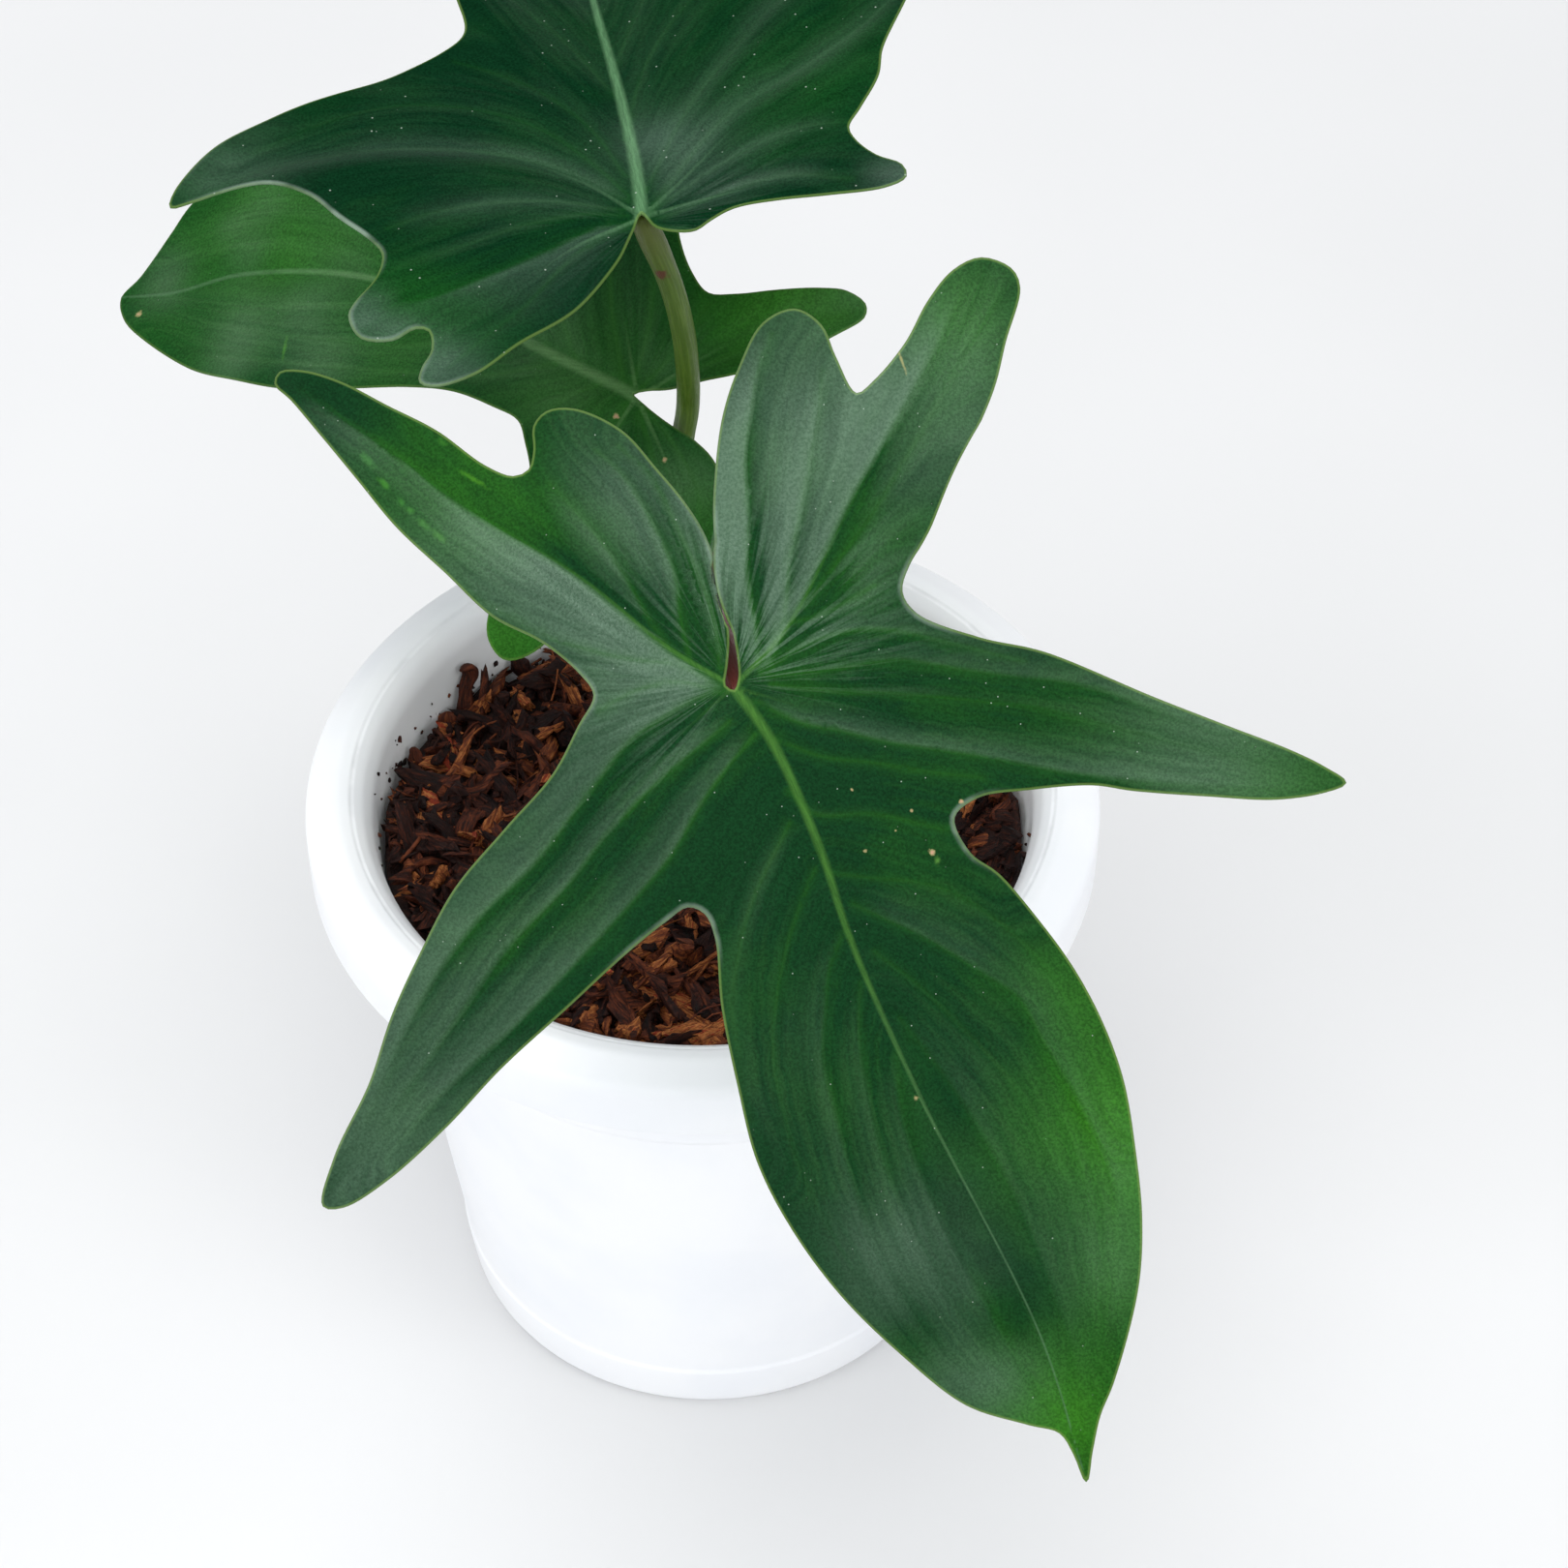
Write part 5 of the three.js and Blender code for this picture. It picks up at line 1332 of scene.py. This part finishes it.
def build_crumbs():
    """Crumbs on the mix, and specks of it that stick to the wall and ledge of the pot."""
    draw = np.random.default_rng(19)
    directions = np.array([
        (0, 0, 1), (0.89, 0, 0.45), (0.28, 0.85, 0.45), (-0.72, 0.53, 0.45), (-0.72, -0.53, 0.45),
        (0.28, -0.85, 0.45), (0.72, 0.53, -0.45), (-0.28, 0.85, -0.45), (-0.89, 0, -0.45),
        (-0.28, -0.85, -0.45), (0.72, -0.53, -0.45), (0, 0, -1),
    ])
    template = []
    for i in range(1, 6):
        after = i % 5 + 1
        template += [(0, i, after), (i, i + 5, after), (i + 5, after + 5, after), (after + 5, i + 5, 11)]

    on_bed, on_wall = CRUMB_COUNT, WALL_CRUMB_COUNT
    size = np.concatenate([0.35 + 0.75 * draw.random(on_bed) ** 2, 0.12 + 0.36 * draw.random(on_wall) ** 2])
    rim = inner_radius(SUBSTRATE_Z)
    bed_x, bed_y = scatter(draw, on_bed, rim - 1.2, STEM_RADIUS + 0.6, np.zeros(on_bed), 0.0)
    bed_z = bark_height(bed_x, bed_y) + draw.uniform(-0.4, 1.2, on_bed)

    # most specks lie on the wall at the back and left, thinning out upwards
    gathered = draw.random(on_wall) < 0.7
    angle = np.radians(np.where(gathered, draw.normal(135, 28, on_wall), draw.uniform(0, 360, on_wall)))
    lift = 0.4 + WALL_CRUMB_REACH * draw.random(on_wall) ** 1.8
    ring = WALL_CRUMB_RING * np.cos(angle), WALL_CRUMB_RING * np.sin(angle)
    wall_z = np.minimum(bark_height(*ring) + lift, RIM_EDGE_Z - 1.4)
    wall = inner_radius(wall_z) - 0.1
    places = np.vstack([
        np.column_stack([bed_x, bed_y, bed_z]),
        np.column_stack([wall * np.cos(angle), wall * np.sin(angle), wall_z]),
    ])
    count, corners = len(places), len(directions)
    wobble = 1 + 0.28 * draw.standard_normal((count, corners, 1))
    stretch = np.exp(0.25 * draw.standard_normal((count, 1, 3)))
    shapes = directions[None] * np.clip(wobble, 0.4, 1.6) * stretch * size[:, None, None]
    shapes = turned(shapes, draw.random(count) * 6.28, draw.random(count) * 3, draw.random(count) * 3)
    points = (shapes + places[:, None]).reshape(-1, 3)
    number = np.arange(count)[:, None, None]
    faces = (np.array(template) + corners * number).reshape(-1, 3).tolist()
    tone = np.clip(0.08 + 0.6 * draw.random(count) ** 1.8, 0, 1)
    return make_piece(
        "bark_crumbs", points, faces, None, "bark", bark_look("bark_crumbs", 0.2), sharp_degrees=30,
        tone=np.repeat(tone, corners), grain=(shapes + 9.0 * number).reshape(-1, 3),
    )


# Stem and petioles


def build_stem():
    """The main stem with a swelling and a scar at each node and a bud at its tip."""
    def radius_at(at, total, angles, centre):
        share = at / total
        swell = sum(NODE_SWELL * hump(centre[2] - z, NODE_SWELL_HEIGHT) for z in STEM_NODES)
        scar = sum(SCAR_SWELL * hump(centre[2] - z - SCAR_LIFT, SCAR_HEIGHT) for z in STEM_NODES)
        ribs = 0.1 * np.cos(9 * angles + 0.08 * centre[2]) + 0.05 * np.cos(23 * angles)
        bud = math.sqrt(max(1 - ((share - BUD_START) / 0.15) ** 2, 0.01)) if share > BUD_START else 1
        return (STEM_RADIUS + swell + scar + ribs) * bud

    points, faces, along, angles = tube(STEM_ROUTE, radius_at, 0.45, 40)
    ring = sum(hump(points[:, 2] - z - SCAR_LIFT, 0.75) for z in STEM_NODES)
    grain = np.column_stack([4 * np.cos(angles), 4 * np.sin(angles), along])
    return make_piece("main_stem", points, faces, "stem", "stem_skin", stem_look(), ring=ring, grain=grain)


def build_stalk(name, blade):
    """A petiole from its foot on the stem to its seat in the rib under the blade."""
    seat_depth = BLADE_THICKNESS + PETIOLE_SINK + VEIN_CHANNEL
    seat = blade_points(blade, np.array([[0, PETIOLE_SEAT]]), -seat_depth)[0]

    def radius_at(at, total, angles, centre):
        share = at / total
        base = PETIOLE_BASE_RADIUS + (PETIOLE_TOP_RADIUS - PETIOLE_BASE_RADIUS) * min(share * 2.5, 1)
        foot = FOOT_SWELL * math.exp(-max(at - 3.2, 0) / 1.8)
        knee = KNEE_SWELL * hump(share - 0.93, 0.05)
        dome = math.sqrt(max(1 - ((share - 0.98) / 0.022) ** 2, 0.1)) if share > 0.98 else 1
        ridges = 0.035 * np.cos(2 * angles) + 0.018 * np.cos(11 * angles + 2 * share)
        return (base + foot + knee) * dome * (1 + ridges)

    points, faces, along, angles = tube([*blade["petiole"], tuple(seat)], radius_at, 0.5, 28)
    return make_piece(
        "stalk_" + name, points, faces, "petiole_" + name, "petiole_skin", stalk_look(*blade["petiole_look"]),
        share=along / along.max(), grain=np.column_stack([2 * np.cos(angles), 2 * np.sin(angles), along]),
    )


# Blades


def blade_points(blade, flat, rise):
    """Points of the blade in the plant's frame: flat holds u and v, and rise is along the blade's normal."""
    u, v = flat.T
    bend = blade["bend"]
    normal = np.array(blade["faces"], float)
    normal /= np.linalg.norm(normal)
    tip = np.array(blade["towards_tip"], float)
    tip -= tip.dot(normal) * normal
    tip /= np.linalg.norm(tip)
    droop = np.where(v > 0, bend["tip"], bend["base"]) * (v / blade["length"]) ** 2
    droop += np.where(u < 0, bend["left"], bend["right"]) * (u / blade["length"]) ** 2
    height = blade["fold"] * (np.sqrt((u / blade["fold_width"]) ** 2 + 1) - 1) - droop + rise
    return np.array(blade["attach"]) + np.column_stack([u, v, height]) @ [np.cross(tip, normal), tip, normal]


def leaf_outline(blade):
    """The margin as a ring of points, anticlockwise."""
    thinner = Thinner(MESH_STEP)
    thinner.add(smooth_line(blade["outline"], MESH_STEP, closed=True), OUTLINE_GAP)
    outline = np.array(thinner.points)
    after = np.roll(outline, -1, axis=0)
    area = np.sum(outline[:, 0] * after[:, 1] - after[:, 0] * outline[:, 1])
    return outline if area > 0 else outline[::-1]


def leaf_drawing(outline, veins, creases):
    """The flat blade's points and triangles: its outline, rows inside it, ribs, creases, then a grid."""
    groups = list(zip(side_rows(outline, RIM_ROWS), RIM_GAPS))
    for lines, offsets in ((veins, RIB_ROWS), (creases, CREASE_ROWS)):
        groups += [(row, ROW_GAP) for line in lines for row in side_rows(line, offsets)]
    groups.append((hex_grid(outline.min(0), outline.max(0), MESH_STEP), GRID_GAP))
    thinner = Thinner(MESH_STEP)
    thinner.add(outline, 0.0)
    for points, gap in groups:
        points = points[is_inside(points, outline)]
        if len(points):
            from_rim = line_distance(points, outline, closed=True)[0]
            thinner.add(points[from_rim > RIM_CLEARANCE], gap)
    return triangulated(thinner.points, [], len(outline), 1e-5)


def rib_fields(blade, flat, veins):
    """Distance to the nearest main vein, then the gap to the rib there in rib widths, and its strength."""
    distances, gaps, strengths = [], [], []
    for vein, (half_width, run, near, far) in zip(veins, blade["ribs"]):
        distance, along, _ = line_distance(flat, vein)
        share = np.clip(along / run, 0, 1)
        distances.append(distance)
        gaps.append(distance / (half_width * (1 - share) + RIB_SOFT_EDGE))
        strengths.append(near + (far - near) * share)
    nearest = np.argmin(gaps, axis=0), np.arange(len(flat))
    return np.min(distances, axis=0), np.array(gaps)[nearest], np.array(strengths)[nearest]


def crease_fields(blade, flat, creases):
    """Distances to the nearest two creases, and the painted sheen and painted shade beside them all."""
    crease_sheen_and_shade = np.zeros(len(flat))
    gaps = []
    for crease, settings in zip(creases, blade["right_creases"] + blade["left_creases"]):
        lit_side, strength, bright, dull, _ = settings
        distance, along, side = line_distance(flat, crease)
        fade = np.clip(along / 4, 0, 1) * np.clip((1 - along / along.max()) / 0.4, 0, 1)
        over = np.clip(side * lit_side * distance / 0.4, -1, 1) / 2 + 0.5 if lit_side else 1
        narrow = np.clip(0.3 + along / 14, 0, 1)
        lit = over * np.exp(-distance / bright / narrow)
        # painted sheen on the lit side of a crease, and painted shade that takes it away on the other side
        crease_sheen_and_shade += strength * fade * (lit - 0.7 * (1 - over) * np.exp(-distance / dull / narrow))
        gaps.append(distance)
    nearest, next_nearest = np.sort(gaps, axis=0)[:2]
    return nearest, next_nearest, crease_sheen_and_shade


def build_leaf(name, blade):
    """A blade: its drawing given relief and two skins, bent into place, with the numbers for its look."""
    outline = leaf_outline(blade)
    veins = [smooth_line(vein, 0.5) for vein in blade["veins"]]
    sides = [
        (side, [smooth_line(crease[-1], 1.0) for crease in blade[key]])
        for side, key in ((1, "right_creases"), (-1, "left_creases"))
    ]
    creases = [crease for _, lines in sides for crease in lines]
    flat, faces = leaf_drawing(outline, veins, creases)
    u, v = flat.T
    count, rim = len(flat), len(outline)
    reach = np.hypot(u, v)
    edge = line_distance(flat, outline, closed=True)[0]
    vein_gap, rib_gap, rib_strength = rib_fields(blade, flat, veins)
    crease_gap, next_gap, crease_sheen_and_shade = crease_fields(blade, flat, creases)

    # relief: the channel of a main vein with its raised rib, pleats between creases, and a wavy margin
    rib = RIB_HEIGHT * hump(rib_gap, 1) * rib_strength
    between = crease_gap * next_gap / (crease_gap + next_gap + 0.01)
    pleat = blade["pleats"] * PLEAT_SLOPE * PLEAT_CAP * (1 - np.exp(-between / PLEAT_CAP))
    flatter = np.clip((v - FLATTER_FROM) / FLATTER_OVER, 0, 1)
    pleat *= np.clip(edge / PLEAT_MARGIN, 0, 1) * (1 - 0.6 * flatter)
    wave = WAVE_HEIGHT * np.sin(u * 0.31 + 1.3) * np.sin(v * 0.27) * np.exp(-edge / WAVE_REACH)
    keel = VEIN_KEEL * hump(vein_gap, VEIN_KEEL_WIDTH) + CREASE_KEEL * hump(crease_gap, CREASE_WIDTH)
    keel *= np.clip(edge / 2, 0, 1)
    thickness = MARGIN_THICKNESS + (BLADE_THICKNESS - MARGIN_THICKNESS) * (1 - np.exp(-edge / EDGE_THINNING))
    laid = flat
    if blade["lap"]:
        start, end, shift, lift = blade["lap"]
        run = np.clip((v - start) / (end - start), 0, 1)
        on_left = u < np.interp(v, (start, end), LAP_SPLIT)
        lap = np.where(on_left, np.sin(math.pi * run) ** 0.7 * np.exp(-edge / LAP_REACH), 0)
        wave += lift * lap
        laid = flat + np.outer(lap, (shift, 0))
    middle = pleat + wave - VEIN_CHANNEL * hump(vein_gap, VEIN_CHANNEL_WIDTH)
    rise = middle + rib

    # the upper and lower skins, and a round edge between them
    along_rim = tangents_of(np.vstack([outline[-1:], outline, outline[:1]]))[1:-1]
    outward = np.column_stack([along_rim[:, 1], -along_rim[:, 0]])
    points = np.vstack([
        blade_points(blade, laid, rise),
        blade_points(blade, laid, middle - thickness - keel),
        blade_points(blade, laid[:rim] + MARGIN_ROUND * outward, rise[:rim] - MARGIN_THICKNESS / 2),
    ])
    top_ring, low_ring, side_ring = (list(range(first, first + rim)) for first in (0, count, 2 * count))
    all_faces = faces.tolist() + (faces[:, ::-1] + count).tolist()
    all_faces += ring_faces(side_ring, top_ring) + ring_faces(low_ring, side_ring)

    # what the look of the leaf is made from
    midrib = [(y, x) for x, y in blade["veins"][0]]
    spine = np.vstack([np.array(NOTCH_LINE) * (1, blade["notch_lean"]), midrib])
    spine_side = np.where(u > np.interp(v, spine[:, 0], spine[:, 1]), 1, -1)
    flow = flow_field(flat, faces, spine_side, sides)
    turn = np.arctan2(u, v)
    fan = np.clip((reach - 1) / 3, 0, 1) * hump(reach, FAN_REACH) * np.where(u > 0, *blade["fan"])
    fields = {
        "flat": np.column_stack([flat, np.zeros(count)]),
        "reach": reach,
        "turn": turn,
        "edge": edge,
        "flow": np.where(spine_side > 0, flow, flow + LEFT_FLOW),
        "spread": np.clip((crease_gap + next_gap - 0.8) / 3.2, 0, 1),
        "fan": fan * np.clip((np.abs(turn) - FAN_TURN) / 0.4, 0, 1),
        # painted sheen and gloss: soft patches, plus the painted sheen and shade beside the creases
        "gloss_and_painted_sheen": np.clip(patches(flat, blade["gloss_and_painted_sheen"]) + crease_sheen_and_shade, -0.1, 1.2),
        "fresh_and_glow": np.clip(patches(flat, blade["fresh_and_glow"]), 0, 1),
        # painted highlight on the rolled-over margin
        "rolled_highlight": np.clip(patches(flat, blade["rolled_highlight"], power=4), 0, 1),
        "crease": hump(crease_gap, 0.4) * np.clip(1 - reach / 70, 0, 1),
        "rib_gap": np.minimum(rib_gap, 9),
        "rib_strength": rib_strength,
    }
    fields = {key: np.concatenate([values, values, values[:rim]]) for key, values in fields.items()}
    under = np.repeat((0, 1, 0), (count, count, rim))
    look = leaf_look("leaf_" + name, blade)
    return make_piece("leaf_" + name, points, all_faces, "blade_" + name, "leaf", look, under=under, **fields)


# Stage: floor, lights and camera


def build_stage():
    mesh = bpy.data.meshes.new("floor")
    corners = [(x * FLOOR_HALF * MM, y * FLOOR_HALF * MM, 0) for x, y in ((-1, -1), (1, -1), (1, 1), (-1, 1))]
    mesh.from_pydata(corners, [], [(0, 1, 2, 3)])
    mesh.materials.append(floor_look())
    in_scene("floor", mesh)


def area_light(name, place, aim, size, radiance, colour=(1, 1, 1)):
    """A square soft light of so many millimetres a side; radiance 1 shows as white."""
    data = bpy.data.lights.new(name, "AREA")
    data.size = size * MM
    data.energy = radiance * math.pi * (size * MM) ** 2
    data.color = colour
    light = in_scene(name, data)
    light.location = tuple(c * MM for c in place)
    x, y, z = np.subtract(aim, place)
    light.rotation_euler = (math.atan2(math.hypot(x, y), -z), 0, math.atan2(y, x) - math.pi / 2)


def build_lights():
    area_light("overhead", (-150, 40, 1400), (0, 0, 100), 900, 3.4)
    area_light("window", (-1150, -950, 850), (0, -20, 120), 1100, 1.9, (0.97, 0.985, 1.0))
    area_light("fill", (1200, -800, 850), (0, 0, 100), 900, 2.2)
    area_light("front", (11, -950, 1050), (0, 0, 100), 900, 1.25)
    world = bpy.data.worlds.new("studio")
    world.use_nodes = True
    background = world.node_tree.nodes["Background"]
    background.inputs["Color"].default_value = (0.95, 0.97, 1.0, 1)
    background.inputs["Strength"].default_value = 0.62
    bpy.context.scene.world = world


def build_camera():
    data = bpy.data.cameras.new("camera")
    data.lens = CAMERA_LENS
    data.sensor_width = SENSOR_WIDTH
    camera = in_scene("camera", data)
    camera.location = tuple(c * MM for c in CAMERA_PLACE)
    camera.rotation_euler = (math.radians(90 - CAMERA_PITCH), 0, 0)
    bpy.context.scene.camera = camera


bpy.context.scene.view_settings.view_transform = "Standard"
build_pot()
build_bed()
build_chips()
build_leaning()
build_fibres()
build_crumbs()
build_stem()
for name, blade in BLADES.items():
    build_stalk(name, blade)
for name, blade in BLADES.items():
    build_leaf(name, blade)
build_stage()
build_lights()
build_camera()
